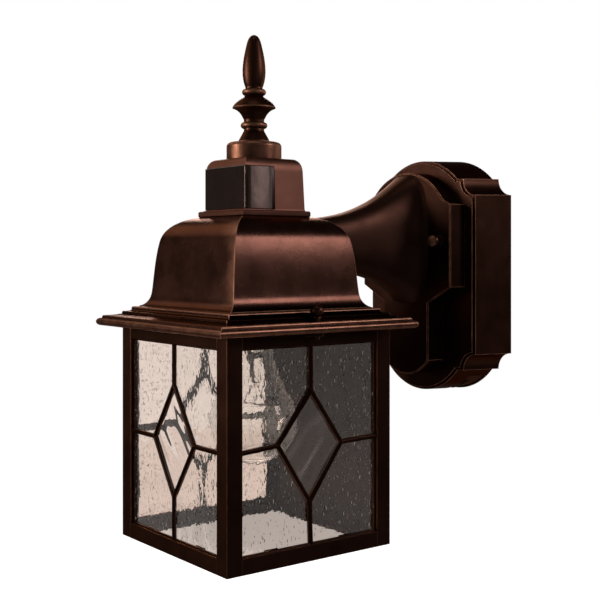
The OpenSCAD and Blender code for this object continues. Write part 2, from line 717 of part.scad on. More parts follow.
// Wave of the screw thread as a stack of rounded ridges
function thread_wave(r, z0, z1, ridge) = let (n = floor((z1 - z0)/3.6))
    [for (i = [0:n*6]) [r - ridge/2 + ridge/2*cos(360*i/6), z0 + (z1 - z0)*i/(n*6)]];

module lampholder() color([0.93, 0.92, 0.88]) at_lantern() difference() {
    rotate_extrude() polygon(concat(
        [[0, holder_top], [8, holder_top]], [[8, holder_top - 5]],
        bezier([[8, holder_top - 5], [13, holder_top - 6], [15.6, holder_top - 9],
            [15.6, holder_top - 14]], 6),
        [[15.6, holder_floor - 6], [holder_r, holder_floor - 8], [holder_r, -holder_drop + 1],
         [holder_r - 1, -holder_drop], [0, -holder_drop]]));
    translate([0, 0, -holder_drop - 1]) cylinder(h = holder_drop + 1 + holder_floor, r = cap_r + 1.4);
    translate([0, 0, rod_low]) cylinder(h = 20, r = rod_d/2 + thread_fit);
    for (x = [-1, 1]) translate([x*lead_x, 0, holder_top - 16]) cylinder(h = 20, r = 1.4);
}

module screw_shell() color(brass) at_lantern() rotate_extrude()
    let (z0 = -holder_drop + 2, z1 = holder_floor - 0.1)
    polygon(concat(thread_wave(cap_r + 1.3, z0, z1, 0.7),
        [for (p = thread_wave(cap_r + 0.95, z0, z1, 0.7)) [p[0], z0 + z1 - p[1]]]));

module centre_contact() color(brass) at_lantern() translate([0, 0, holder_floor - 1.8]) {
    cylinder(h = 0.6, r = 3.2);
    cylinder(h = 1.8, r = 2);
}

// ---- Bulb ----

function bulb_side(t) = let (a = 52) concat(
    [[0, bulb_crown + t]], arc(0, bulb_mid, bulb_r - t, -84, 90 - a, 20),
    bezier([[(bulb_r - t)*sin(a), bulb_mid + (bulb_r - t)*cos(a)],
        [(bulb_r - t)*sin(a) - 8*cos(a), bulb_mid + (bulb_r - t)*cos(a) + 8*sin(a)],
        [cap_r - t, cap_low - 12], [cap_r - 1.1 - t, cap_low + 2.8]], 8));

module bulb_glass() color(clear) at_lantern() rotate_extrude() let (out = bulb_side(0), in = bulb_side(bulb_t))
    polygon(concat(out, [for (i = [len(in) - 1:-1:0]) in[i]]));

module bulb_cap() color(steel) at_lantern() rotate_extrude() let (z0 = cap_low + 3.2, z1 = tip_z - 4)
    polygon(concat([[cap_r - 0.6, cap_low], [cap_r, cap_low], [cap_r, cap_low + 2.4]],
        thread_wave(cap_r, z0, z1, 0.8), [[cap_r - 1.5, tip_z - 3], [8, tip_z - 2], [7.2, tip_z - 2.6],
        [cap_r - 2.5, tip_z - 3.8], [cap_r - 1.7, tip_z - 5], [cap_r - 1.7, cap_low + 3.2],
        [cap_r - 0.6, cap_low + 3.1]]));

// Solder tip in its black glass insulator
module bulb_tip() color(black) at_lantern() {
    translate([0, 0, tip_z - 2.4]) cylinder(h = 2, r = 7.1);
    translate([0, 0, tip_z - 0.5]) rotate_extrude() polygon(concat([[0, -0.5], [3.4, -0.5]], bezier([[3.4, 0],
        [3, 0.35], [1.6, 0.5], [0, 0.5]], 4)));
}

module bulb_stem() color(clear) at_lantern() rotate_extrude() polygon(concat([[0, cap_low - 28]],
    bezier([[3.2, cap_low - 27], [3.6, cap_low - 14], [4.4, cap_low - 6], [10.9, cap_low + 2.6]], 8),
    [[9.6, cap_low + 3], [3, cap_low - 4], [0, cap_low - 6]]));

// Two lead wires, a centre support and the coil between them
module bulb_filament() color(steel) at_lantern() {
    for (x = [-1, 1]) translate([x*1.8, 0, cap_low - 28]) rotate([0, x*140, 0])
        cylinder(h = 20, r = 0.35);
    translate([0, 0, cap_low - 41.4]) cylinder(h = 13.3, r = 0.3);
    for (x = [-1, 1]) translate([x*13.4, 0, cap_low - 42.2]) rotate([0, -x*90, 0])
        cylinder(h = 13.4, r = 0.55);
}

// ---- Cage ----

module post_2d() translate([-cage_half, -cage_half]) difference() {
    square(post_leg);
    translate([sheet_t, sheet_t]) square(post_leg);
}

module corner_posts() color(bronze) at_lantern() for (a = [0:90:270]) rotate(a)
    translate([0, 0, cage_low]) linear_extrude(cage_h) post_2d();

// Rail of four upright strips between the posts, on a flat ring that the posts lap over
module rail(z_ring, z_strip, h) difference() {
    union() {
        ring_plate(cage_half, cage_half - plate_edge, z_ring, sheet_t);
        ring_plate(cage_half, cage_half - sheet_t, z_strip, h);
    }
    for (a = [0:90:270]) rotate(a) translate([0, 0, cage_low - 1]) linear_extrude(cage_h + 2) post_2d();
}

module top_rail() color(bronze) at_lantern() difference() {
    union() {
        rail(cage_top - sheet_t, cage_top - top_rail_h, top_rail_h);
        for (x = [-1, 1]) hull() {
            translate([x*screw_x, 0, cage_top - 2.2]) cylinder(h = 2.2, r = 4.6, $fn = 32);
            translate([x*(cage_half - 2) - 1, -8, cage_top - 2.2]) cube([2, 16, 2.2]);
        }
    }
    for (x = [-1, 1]) translate([x*screw_x, 0, cage_top - 5]) cylinder(h = 10, r = shank_d/2 + shank_gap);
}

module bottom_rail() color(bronze) at_lantern() rail(cage_low, cage_low, low_rail_h);

module back_panel() color(bronze) at_lantern()
    translate([-window_half - border_w, panel_out - 1, window_low - border_w])
    cube([2*(window_half + border_w), 1, window_top - window_low + 2*border_w]);

// ---- Leaded panels, drawn in the plane of their face with the height of the window along Y ----

module came_line(a, b, w) translate(a) rotate(atan2(b[1] - a[1], b[0] - a[0]))
    translate([0, -w/2]) square([norm(b - a), w]);

// The lattice: a diamond in the middle, tied to the border at its four tips
module lattice(w) {
    tips = [[diamond_half_w, window_mid], [0, window_mid + diamond_half_h], [-diamond_half_w, window_mid],
        [0, window_mid - diamond_half_h]];
    side = window_half + pane_edge + heart_t/2;
    ends = [[side, window_mid], [0, window_top + side - window_half], [-side, window_mid],
        [0, window_low - side + window_half]];
    for (i = [0:3]) {
        came_line(tips[i], tips[(i + 1)%4], w);
        came_line(tips[i], ends[i], w);
        translate(tips[i]) circle(w/2);
    }
}

module diamond_2d(inset) polygon([for (i = [0:3]) let (k = inset*norm([diamond_half_w, diamond_half_h]))
    [[diamond_half_w - k/diamond_half_h, window_mid], [0, window_mid + diamond_half_h - k/diamond_half_w],
     [-diamond_half_w + k/diamond_half_h, window_mid],
     [0, window_mid - diamond_half_h + k/diamond_half_w]][i]]);

module window_2d(grow) translate([-window_half - grow, window_low - grow])
    square([2*(window_half + grow), window_top - window_low + 2*grow]);

// The four outer panes, drawn to the heart of their cames less a gap
module outer_panes(gap) difference() {
    window_2d(pane_edge - gap);
    lattice(heart_t + 2*gap);
    diamond_2d(0);
}

// Puts a drawing in the panel's plane onto one side of the cage, from one depth to another
module on_side(angle, depth, t) at_lantern() rotate(angle) translate([0, -panel_out + depth, 0])
    rotate([90, 0, 0]) translate([0, 0, -t]) linear_extrude(t) children();

module came(angle) color(bronze) difference() {
    on_side(angle, 0, came_t) {
        difference() {
            window_2d(border_w);
            window_2d(0);
        }
        lattice(came_w);
    }
    on_side(angle, (came_t - glass_t)/2 - pane_gap, glass_t + 2*pane_gap) {
        outer_panes(0);
        diamond_2d(heart_t/2);
    }
}

module seeded_glass(angle) color(clear) on_side(angle, (came_t - glass_t)/2, glass_t) outer_panes(pane_gap);

module diamond_glass(angle) color([0.75, 0.75, 0.73, 0.5])
    on_side(angle, (came_t - glass_t)/2, glass_t) diamond_2d(heart_t/2 + pane_gap);

// Bent clips that stand on the rails and press each panel against the posts
module panel_clips() color(steel) at_lantern() {
    glazed = panel_out - came_t;
    for (side = [[0, glazed], [90, glazed], [270, glazed], [180, panel_out - 1]], x = [-30, 30])
        rotate(side[0]) translate([x - 5, -side[1], 0]) {
            translate([0, 0, cage_low + sheet_t]) cube([10, 0.8, low_rail_h + border_show - 1]);
            translate([0, 0, cage_low + sheet_t]) cube([10, 6, 0.8]);
            translate([0, 0, window_top + 1]) cube([10, 0.8, cage_top - sheet_t - window_top - 1]);
            translate([0, 0, cage_top - sheet_t - 0.8]) cube([10, 6, 0.8]);
        }
}

// Ball-headed screw through the eave into the lug of the top rail
module ball_screw(side) color(bronze) at_lantern() translate([side*screw_x, 0, 0]) {
    translate([0, 0, ledge_z + ball_d/2 + 1]) sphere(ball_d/2);
    translate([0, 0, ledge_z + 1]) cylinder(h = 1.2, r = 3);
    translate([0, 0, cage_top - 4.4]) cylinder(h = ledge_z - cage_top + 6, r = shank_d/2);
}

// ---- Controls in the underside of the wall box ----

// Local frame of a switch slot: X along the slot from its lower end, Z inwards from the arch's surface
module slot_frame(side) mirror([side < 0 ? 1 : 0, 0, 0]) translate([0, -switch_y, arch_z_low])
    rotate([0, -switch_angle, 0]) translate([-slot_run/2, 0, -slot_deep]) children();

module control_bezel() color(black) difference() {
    union() {
        from_wall(bezel_y0, bezel_y1 - bezel_y0) arch_band(arch_r_low - cast_t - 0.1, arch_r_low, bezel_half);
        from_wall(bezel_y0 - 1.5, bezel_y1 - bezel_y0 + 3)
            arch_band(bezel_in, arch_r_low - cast_t - 0.1, bezel_half + 1.2);
    }
    for (side = [-1, 1]) slot_frame(side) translate([0, -switch_slot_w/2, -6])
        cube([slot_run, switch_slot_w, 14]);
}

// Electronics case, shaped to the arch below and resting on the bezel by a rib between the slots
module control_case() color([0.2, 0.2, 0.22]) {
    from_wall(3.5, box_d - cast_t - rim_step - 5.5) intersection() {
        translate([0, arch_z_low]) circle(case_r, $fn = 96);
        translate([1 - bezel_half, -far]) square([2*bezel_half - 2, far + case_top]);
    }
    from_wall(bezel_y0, bezel_y1 - bezel_y0) intersection() {
        arch_band(case_r - 2, bezel_in - 0.05, rib_half);
        translate([-rib_half, -far]) square([2*rib_half, far]);
    }
}

// Slide switch: a ribbed knob in its slot on a foot behind the bezel
module slide_switch(side) color(black) slot_frame(side) {
    difference() {
        translate([knob_gap, -switch_slot_w/2 + knob_gap, -1.2])
            cube([knob_l, switch_slot_w - 2*knob_gap, foot_z + 1.3]);
        for (i = [0:3]) translate([knob_gap + 1 + i*1.7, -switch_slot_w, -1.7]) cube([0.7, 2*switch_slot_w, 1]);
    }
    translate([knob_gap, -switch_slot_w/2 - 2, foot_z]) cube([knob_l, switch_slot_w + 4, 1.2]);
}

module time_switch() slide_switch(1);
module range_switch() slide_switch(-1);

module supply_terminal() color(black) difference() {
    translate([-14, -28, case_top]) cube([28, 12, 11]);
    for (x = [-9, 0, 9]) {
        translate([x, -22, case_top + 4]) cylinder(h = 10, r = 1.8);
        translate([x, -20, case_top + 4.5]) rotate([-90, 0, 0]) cylinder(h = 10, r = 1.6);
    }
}

// ---- Wires inside the box, the plate, the arm and the roof ----

lead_r = 1.1;
lead_end = holder_top - 15.5;
arm_mid_y = -(plate_y + reach - dome_half)/2;
dome_wall_y = -reach + dome_half;

function lead_route(x, end_z) = [[x*3, -31, case_top], [x*3, -31, case_top + 14], [x*2.6, -31, -22],
    [x*1.8, -33, -4], [x*1.5, -box_d, -3], [x*1.5, -plate_y, -3], [x*1.5, arm_mid_y, -1],
    [x*1.3, dome_wall_y + 4, 2], [x*1.3, dome_wall_y - 6, 3], [x*3, dome_wall_y - 16, 2],
    [x*7, -reach + 20, -2], [x*8, -reach + 5, -8], [x*8, -reach, -13], [x*8, -reach, -20], [x*8, -reach, end_z]];

module live_lead() color(black) swept(smooth(smooth(lead_route(-lead_x/8, lead_end))), lead_r);
module neutral_lead() color([0.9, 0.9, 0.88]) swept(smooth(smooth(lead_route(lead_x/8, lead_end))), lead_r);

module sensor_cable() color([0.5, 0.5, 0.52]) swept(smooth(smooth([[0, -31, case_top],
    [0, -31, case_top + 18], [0, -32, -18], [0, -34, 2], [0, -box_d - 2, 4], [0, -plate_y, 4],
    [0, arm_mid_y, 4], [0, dome_wall_y + 4, 5.6], [0, dome_wall_y - 6, 5.6], [4, dome_wall_y - 18, 7],
    [cable_hole[0] - 1, cable_hole[1] - reach + 7, 9], [cable_hole[0], cable_hole[1] - reach + 1, 11],
    [cable_hole[0], cable_hole[1] - reach, roof_top], [cable_hole[0], cable_hole[1] - reach - 3, roof_top + 8],
    [8, -reach - board_y + 8, roof_top + 15], [8, -reach - board_y + 1.8, roof_top + 17]])), 1.2);

back_box();
wall_gasket();
crossbar();
mounting_studs();
stud_nuts();
cap_nuts();
ground_screw();
front_plate();
arm();
arm_base_screws();
roof();
roof_screws();
cupola();
sensor_lens();
sensor_board();
infrared_sensor();
collar();
finial();
centre_rod();
rod_nut();
lampholder();
screw_shell();
centre_contact();
bulb_glass();
bulb_cap();
bulb_tip();
bulb_stem();
bulb_filament();
corner_posts();
top_rail();
bottom_rail();
back_panel();
came(0);  // came_front
came(270);  // came_left
came(90);  // came_right
seeded_glass(0);  // seeded_glass_front
seeded_glass(270);  // seeded_glass_left
seeded_glass(90);  // seeded_glass_right
diamond_glass(0);  // diamond_glass_front
diamond_glass(270);  // diamond_glass_left
diamond_glass(90);  // diamond_glass_right
panel_clips();
ball_screw(-1);  // ball_screw_left
ball_screw(1);  // ball_screw_right
control_bezel();
control_case();
time_switch();
range_switch();
supply_terminal();
live_lead();
neutral_lead();
sensor_cable();
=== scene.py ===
import random
from math import atan2, copysign, cos, exp, pi, radians, sin

import bmesh
import bpy
from mathutils import Matrix, Vector, geometry, noise


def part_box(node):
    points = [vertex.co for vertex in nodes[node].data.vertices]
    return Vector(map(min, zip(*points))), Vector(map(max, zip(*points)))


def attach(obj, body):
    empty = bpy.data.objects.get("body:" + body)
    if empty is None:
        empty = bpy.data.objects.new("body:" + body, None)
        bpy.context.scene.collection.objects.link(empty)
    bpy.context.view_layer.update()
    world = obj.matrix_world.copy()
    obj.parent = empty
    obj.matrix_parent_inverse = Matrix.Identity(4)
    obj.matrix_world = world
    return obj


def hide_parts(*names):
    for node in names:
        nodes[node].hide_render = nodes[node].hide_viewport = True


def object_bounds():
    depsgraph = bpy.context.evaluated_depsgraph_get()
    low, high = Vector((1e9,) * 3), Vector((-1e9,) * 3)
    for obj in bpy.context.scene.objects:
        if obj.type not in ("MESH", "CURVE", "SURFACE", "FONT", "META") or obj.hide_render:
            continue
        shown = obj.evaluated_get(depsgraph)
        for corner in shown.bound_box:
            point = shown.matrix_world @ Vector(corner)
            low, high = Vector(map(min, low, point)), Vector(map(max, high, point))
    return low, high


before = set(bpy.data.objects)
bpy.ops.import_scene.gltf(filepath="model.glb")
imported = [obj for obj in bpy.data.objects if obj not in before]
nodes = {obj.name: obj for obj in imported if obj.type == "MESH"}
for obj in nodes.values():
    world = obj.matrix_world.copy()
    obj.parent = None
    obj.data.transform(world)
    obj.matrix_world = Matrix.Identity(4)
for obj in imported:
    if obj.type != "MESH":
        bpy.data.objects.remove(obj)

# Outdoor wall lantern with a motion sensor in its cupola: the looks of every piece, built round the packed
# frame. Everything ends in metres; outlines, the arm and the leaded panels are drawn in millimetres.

cad_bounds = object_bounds()

# ---- Crossbar, studs and nuts ----
# A stamped steel bar is screwed to the junction box in the wall. Two brass studs stand in it, locked by
# hexagon nuts, and a green screw takes the ground wire. The wall box hides all of it once it is up.


def plug(tree, made, **values):
    """Sets up a shader node: each value goes to the setting or socket of its name; outputs are linked."""
    for name, value in values.items():
        if name[0].islower():
            setattr(made, name, value)
        elif isinstance(value, bpy.types.NodeSocket):
            tree.links.new(value, made.inputs[name.replace("_", " ")])
        else:
            made.inputs[name.replace("_", " ")].default_value = value
    return made


def node(tree, kind, **values):
    """A new shader node, set up."""
    return plug(tree, tree.nodes.new("ShaderNode" + kind), **values)


def finish(name, colour, roughness, metallic=0.0, **sockets):
    """A new material whose surface has these plain values, its node tree and its surface shader."""
    made = bpy.data.materials.new(name)
    made.use_nodes = True
    skin = made.node_tree.nodes["Principled BSDF"]
    plug(made.node_tree, skin, Base_Color=(*colour, 1), Roughness=roughness, Metallic=metallic, **sockets)
    made.diffuse_color = (*colour, 1)
    return made, made.node_tree, skin


def own_space(tree):
    """The place of a point in the object's own space."""
    return node(tree, "TexCoord").outputs["Object"]


def grain(tree, scale, detail=3, stretch=(1, 1, 1), turn=(0, 0, 0)):
    """Noise in the object's own space, from 0 to 1, its scale in cells to the metre, drawn out along turned
    axes."""
    where = node(tree, "Mapping", vector_type="TEXTURE", Vector=own_space(tree), Scale=stretch,
                 Rotation=turn)
    return node(tree, "TexNoise", Vector=where.outputs[0], Scale=scale, Detail=detail).outputs["Fac"]


def fit(tree, value, low, high, to_low=0.0, to_high=1.0, **settings):
    """The value's stretch from low to high, spread over another one and clamped to it."""
    return node(tree, "MapRange", Value=value, From_Min=low, From_Max=high, To_Min=to_low, To_Max=to_high,
                **settings).outputs[0]


def blend(tree, share, first, second):
    """A colour between two others."""
    made = tree.nodes.new("ShaderNodeMix")
    made.data_type = "RGBA"
    for socket, value in ((0, share), (6, first), (7, second)):
        if isinstance(value, bpy.types.NodeSocket):
            tree.links.new(value, made.inputs[socket])
        else:
            made.inputs[socket].default_value = value if socket == 0 else (*value, 1)
    return made.outputs[2]


def relief(tree, skin, *layers):
    """Bumps on a surface, one layer on the other, each a (height, depth in metres) pair."""
    normal = None
    for height, depth in layers:
        made = node(tree, "Bump", Height=height, Distance=depth, Strength=1.0)
        if normal:
            plug(tree, made, Normal=normal)
        normal = made.outputs[0]
    plug(tree, skin, Normal=normal)


def bare_metal(name, colour, roughness, stretch=(1, 1, 1)):
    """Bare or plated metal with a faint drawn grain and handling marks."""
    made, tree, skin = finish(name, colour, roughness, 1.0)
    cloud = grain(tree, 120, 4)
    tint = blend(tree, fit(tree, cloud, 0.3, 0.7), [0.72*c for c in colour], colour)
    plug(tree, skin, Base_Color=tint, Roughness=fit(tree, cloud, 0.3, 0.7, 0.75*roughness, 1.35*roughness))
    relief(tree, skin, (grain(tree, 900, 2, stretch), 0.00003))
    return made


def wear(material, *names):
    """Gives CAD nodes that are shown as they are their finish."""
    for name in names:
        for place in nodes[name].material_slots:
            place.material = material


zinc = bare_metal("zinc_plate", (0.52, 0.53, 0.54), 0.34, (1, 1, 5))
raw_brass = bare_metal("drawn_brass", (0.72, 0.52, 0.24), 0.3, (4, 4, 0.4))
ground_green = bare_metal("green_dyed_zinc", (0.09, 0.34, 0.14), 0.38)
wear(zinc, "crossbar", "stud_nuts", "arm_base_screws", "roof_screws", "rod_nut")
wear(raw_brass, "mounting_studs", "centre_rod", "screw_shell", "centre_contact")
wear(ground_green, "ground_screw")

# ---- Foam gasket ----
# A ring of black closed-cell foam seals the back of the wall box against the wall. It is die-cut from sheet,
# and its cut cells show.
foam, tree, skin = finish("closed_cell_foam", (0.035, 0.035, 0.036), 0.92)
cells = node(tree, "TexVoronoi", Vector=own_space(tree), Scale=900).outputs["Distance"]
plug(tree, skin, Base_Color=blend(tree, cells, (0.02, 0.02, 0.02), (0.055, 0.055, 0.056)))
relief(tree, skin, (cells, 0.0002))
wear(foam, "wall_gasket")

# ---- Wall box ----
# The deep box is a die casting with hollowed corners, arched ends and a small step round its front edge.
# It is sprayed dark bronze, and the lacquer is rubbed through to copper along its edges.
MM = 0.001
CAST_EDGE = 0.7*MM
DRAFT = 0.018
BOX_MIDDLE = -21.5*MM
COPPER = (0.50, 0.225, 0.135)
# Black that marks below zero darken the lacquer towards: painted shade.
SHADE_BLACK = (0.006, 0.0025, 0.0015)


def maths(tree, operation, *terms, **settings):
    """The result of a sum; each term is a number or another node's output."""
    made = node(tree, "Math", operation=operation, **settings)
    for socket, term in zip(made.inputs, terms):
        if isinstance(term, bpy.types.NodeSocket):
            tree.links.new(term, socket)
        else:
            socket.default_value = term
    return made.outputs[0]


def cloudy(tree):
    """How the lacquer's two tones are spread: in soft clouds."""
    return fit(tree, grain(tree, 26, 5), 0.3, 0.7)


def bronze(name, deep, warm, gloss=0.32, grit=0.03*MM, rim=(0.62, 0.50, 0.45), spread=cloudy):
    """Bronze lacquer in two tones over a fine sand grain, pitted, and rubbed to copper where it is marked.
    Where the mark is below zero, it is darkened towards black as painted shade."""
    made, tree, skin = finish(name, warm, gloss, 1.0, Specular_Tint=(*rim, 1))
    rubbed = node(tree, "Attribute", attribute_name="rub_and_shade").outputs["Fac"]
    bare = maths(tree, "MULTIPLY", rubbed, fit(tree, grain(tree, 160, 4), 0.36, 0.62, 0.55, 1.0))
    lacquer = blend(tree, spread(tree), deep, warm)
    # Marks below zero blend the lacquer towards black: painted shade.
    shaded = blend(tree, fit(tree, rubbed, 0, -1), lacquer, SHADE_BLACK)
    satin = fit(tree, grain(tree, 70, 4), 0.3, 0.7, gloss - 0.03, gloss + 0.05)
    plug(tree, skin, Base_Color=blend(tree, bare, shaded, COPPER), Metallic=fit(tree, bare, 0, 1, 1, 0.7),
         Roughness=maths(tree, "ADD", satin, fit(tree, bare, 0, 1, 0, 0.12)))
    pits = node(tree, "TexVoronoi", Vector=own_space(tree), Scale=480, Randomness=1.0).outputs["Distance"]
    relief(tree, skin, (grain(tree, 45, 2), 0.2*MM), (grain(tree, 1500, 2), grit),
           (fit(tree, pits, 0.03, 0.12), 0.03*MM))
    return made


def merged_copy(name):
    """A bmesh of a CAD node, with its loose triangles merged into whole faces."""
    bm = bmesh.new()
    bm.from_mesh(nodes[name].data)
    bmesh.ops.remove_doubles(bm, verts=bm.verts, dist=1e-6)
    bmesh.ops.dissolve_limit(bm, angle_limit=radians(0.5), verts=bm.verts, edges=bm.edges)
    return bm


def mark(faces, layer, share):
    """Marks whole faces as rubbed by a share, or with painted shade where the share is below zero."""
    for face in faces:
        for corner in face.loops:
            corner[layer] = (share, share, share, 1)


def rub_and_shade(bm, strength=lambda p: 0.0):
    """Marks how far the lacquer is rubbed off, by a rule of each point, and gives the marks back; marks
    below zero are painted shade. To begin with, nothing is rubbed."""
    layer = bm.loops.layers.float_color.get("rub_and_shade") or bm.loops.layers.float_color.new("rub_and_shade")
    for face in bm.faces:
        for corner in face.loops:
            share = strength(corner.vert.co)
            corner[layer] = (share, share, share, 1)
    return layer


def soften(bm, width, segments=2, angle=35, share=1.0):
    """Rounds the sharp outward edges, and marks the rounded strips as rubbed."""
    layer = rub_and_shade(bm)
    sharp = [e for e in bm.edges if e.is_manifold and e.is_convex and e.calc_face_angle() > radians(angle)]
    strips = bmesh.ops.bevel(bm, geom=sharp, offset=width, offset_type="OFFSET", segments=segments,
                             affect="EDGES", profile=0.5, material=-1, clamp_overlap=True)["faces"]
    mark(strips, layer, share)
    return bm


def piece(name, bm, material, body, stands_for=(), smooth=32, even=True):
    """Makes the bmesh a shown piece with its finish, riding on its body and standing for its CAD nodes."""
    mesh = bpy.data.meshes.new(name)
    bm.to_mesh(mesh)
    bm.free()
    if "custom_normal" in mesh.attributes:
        mesh.attributes.remove(mesh.attributes["custom_normal"])
    mesh.materials.append(material)
    mesh.shade_smooth()
    mesh.set_sharp_from_angle(angle=radians(smooth))
    made = bpy.data.objects.new(name, mesh)
    bpy.context.scene.collection.objects.link(made)
    if even:
        made.modifiers.new("Even shading", "WEIGHTED_NORMAL").keep_sharp = True
    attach(made, body)
    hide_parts(*stands_for)
    return made


box_bronze = bronze("bronze_wall_box", (0.065, 0.027, 0.018), (0.09, 0.037, 0.025), rim=(0.45, 0.36, 0.32))
bm = merged_copy("back_box")
box_low, box_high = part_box("back_box")
for v in bm.verts:
    depth = (v.co.y - box_low.y)/(box_high.y - box_low.y)
    v.co.x *= 1 + DRAFT*depth
    v.co.z += DRAFT*depth*(v.co.z - BOX_MIDDLE)
piece("wall_box", soften(bm, CAST_EDGE), box_bronze, "fixture", ["back_box"])

# ---- Controls in the underside ----
# A black bezel closes the opening in the lower arch, with a slot for each of the two slide switches.
# Behind it are the electronics case and the terminal that the supply wires come to.
MOULDED_EDGE = 0.3*MM
CASE_EDGE = 1.2*MM


def plastic(name, colour, roughness, grit=0.02*MM, shine=0.5):
    """Moulded plastic with a fine spark-eroded grain."""
    made, tree, skin = finish(name, colour, roughness, 0.0, Specular_IOR_Level=shine)
    plug(tree, skin, Base_Color=blend(tree, grain(tree, 60, 4), [0.8*c for c in colour],
                                      [min(1, 1.2*c) for c in colour]))
    relief(tree, skin, (grain(tree, 1700, 2), grit))
    return made


black_plastic = plastic("black_plastic", (0.014, 0.012, 0.012), 0.6, 0.06*MM, 0.15)
brown_plastic = plastic("brown_plastic", (0.03, 0.012, 0.007), 0.75, 0.3*MM, 0.0)
grey_plastic = plastic("grey_plastic", (0.16, 0.16, 0.17), 0.55)
piece("bezel", soften(merged_copy("control_bezel"), MOULDED_EDGE), brown_plastic, "fixture",
      ["control_bezel"])
piece("terminal", soften(merged_copy("supply_terminal"), MOULDED_EDGE), black_plastic, "fixture",
      ["supply_terminal"])
piece("electronics_case", soften(merged_copy("control_case"), CASE_EDGE), grey_plastic, "fixture",
      ["control_case"])
for switch in ("time", "range"):
    piece(switch + "_knob", soften(merged_copy(switch + "_switch"), MOULDED_EDGE), black_plastic,
          switch + "_slider", [switch + "_switch"])

# ---- Front plate ----
# A second casting lies on the box: an arched plate with a long rounded tongue, held by the studs' cap nuts.
# It is given a darker brown than the box as painted shade, and its edges are rubbed too.
PLATE_EDGE = 0.8*MM
plate_bronze = bronze("bronze_front_plate", (0.045, 0.018, 0.012), (0.065, 0.027, 0.018),
                      rim=(0.4, 0.3, 0.26))
piece("front_plate_casting", soften(merged_copy("front_plate"), PLATE_EDGE), plate_bronze, "fixture",
      ["front_plate"])

# ---- Cap nuts ----
# Each nut is a ball on a short hexagon and a washer face, turned from brass and lacquered. It is tumbled,
# so that the copper shows on its crown.
CAP_BALL_R = 4.5*MM
BALL_OUT = 5.1*MM
CROWN_OUT = 7*MM
HEX_R = 4.6*MM
HEX_TALL = 2.4*MM
WASHER_R = 4.8*MM
WASHER_TALL = 1*MM
NUT_EDGE = 0.25*MM


def post(bm, sides, foot_r, top_r, tall, place):
    """Adds a round or many-sided post along the place's own Z, centred on it."""
    bmesh.ops.create_cone(bm, cap_ends=True, segments=sides, radius1=foot_r, radius2=top_r, depth=tall,
                          matrix=place)


def ball(bm, radius, centre):
    """Adds a ball."""
    bmesh.ops.create_uvsphere(bm, u_segments=32, v_segments=20, radius=radius,
                              matrix=Matrix.Translation(centre))


fixing_bronze = bronze("bronze_fixings", (0.05, 0.02, 0.013), (0.09, 0.038, 0.025), gloss=0.33)
nut_low, nut_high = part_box("cap_nuts")
plate_front = nut_high.y
nut_z = (nut_low.z + nut_high.z)/2
nut_x = nut_high.x - WASHER_R
bm = bmesh.new()
for side in (-1, 1):
    facing = Matrix.Translation((side*nut_x, plate_front, nut_z)) @ Matrix.Rotation(radians(90), 4, "X")
    post(bm, 48, WASHER_R, HEX_R, WASHER_TALL, facing @ Matrix.Translation((0, 0, WASHER_TALL/2)))
    post(bm, 6, HEX_R, HEX_R, HEX_TALL, facing @ Matrix.Translation((0, 0, WASHER_TALL + HEX_TALL/2)))
soften(bm, NUT_EDGE)
for side in (-1, 1):
    ball(bm, CAP_BALL_R, (side*nut_x, plate_front - BALL_OUT, nut_z))
rub_and_shade(bm, lambda p: 0.5 if p.y < plate_front - CROWN_OUT else 0.1)
piece("ball_cap_nuts", bm, fixing_bronze, "fixture", ["cap_nuts"])

# ---- Roof ----
# The roof is one casting: a beaded eave, a stepped moulding, and a square bell whose four sides meet in
# sharp hips. The hips and the bead are where hands and cloths have rubbed it back to copper.
roof_low, roof_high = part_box("roof")
AXIS_Y = (roof_low.y + roof_high.y)/2
EAVE = round(roof_low.z/MM, 1)
TOP = round(roof_high.z/MM, 1)
CAGE = round(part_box("corner_posts")[1].x/MM, 1)
LEDGE = EAVE + 8
FLARE_TOP = (51.35, -33.4)
SHOULDER = (47.1, 3.2)
INNER_SHOULDER = (45.2, -2)
ROD_HOLE_R = 5.2
CEILING = 2.5
HIP_ROUND = 1.3*MM
BOSS_X = 70.0
BOSS_R = 4.2
BOSS_TALL = 6.4


def arc(x, z, radius, start, end, steps=8):
    """Points of a circular arc about (x, z), from one angle to another in degrees."""
    turns = [radians(start + (end - start)*i/steps) for i in range(steps + 1)]
    return [(x + radius*cos(t), z + radius*sin(t)) for t in turns]


def curve(*ends_and_handles, steps=8):
    """Points along a cubic curve, given as end, handle, handle, end."""
    return [tuple(p) for p in geometry.interpolate_bezier(*map(Vector, ends_and_handles), steps + 1)]


def turned(outline, steps, closed=False, diagonal=False):
    """A solid swept round the lantern's axis by an outline of (radius, height) points in millimetres.
    With the diagonal and 4 steps, the radius is the half width of a square body."""
    bm = bmesh.new()
    chain = [bm.verts.new((r*MM, r*MM if diagonal else 0, z*MM)) for r, z in outline]
    edges = [bm.edges.new(pair) for pair in zip(chain, chain[1:])]
    if closed:
        edges.append(bm.edges.new((chain[-1], chain[0])))
    bmesh.ops.spin(bm, geom=chain + edges, axis=(0, 0, 1), cent=(0, 0, 0), angle=2*pi, steps=steps,
                   use_merge=True)
    bmesh.ops.remove_doubles(bm, verts=bm.verts, dist=1e-6)
    bmesh.ops.recalc_face_normals(bm, faces=bm.faces)
    bmesh.ops.translate(bm, verts=bm.verts, vec=(0, AXIS_Y, 0))
    return bm


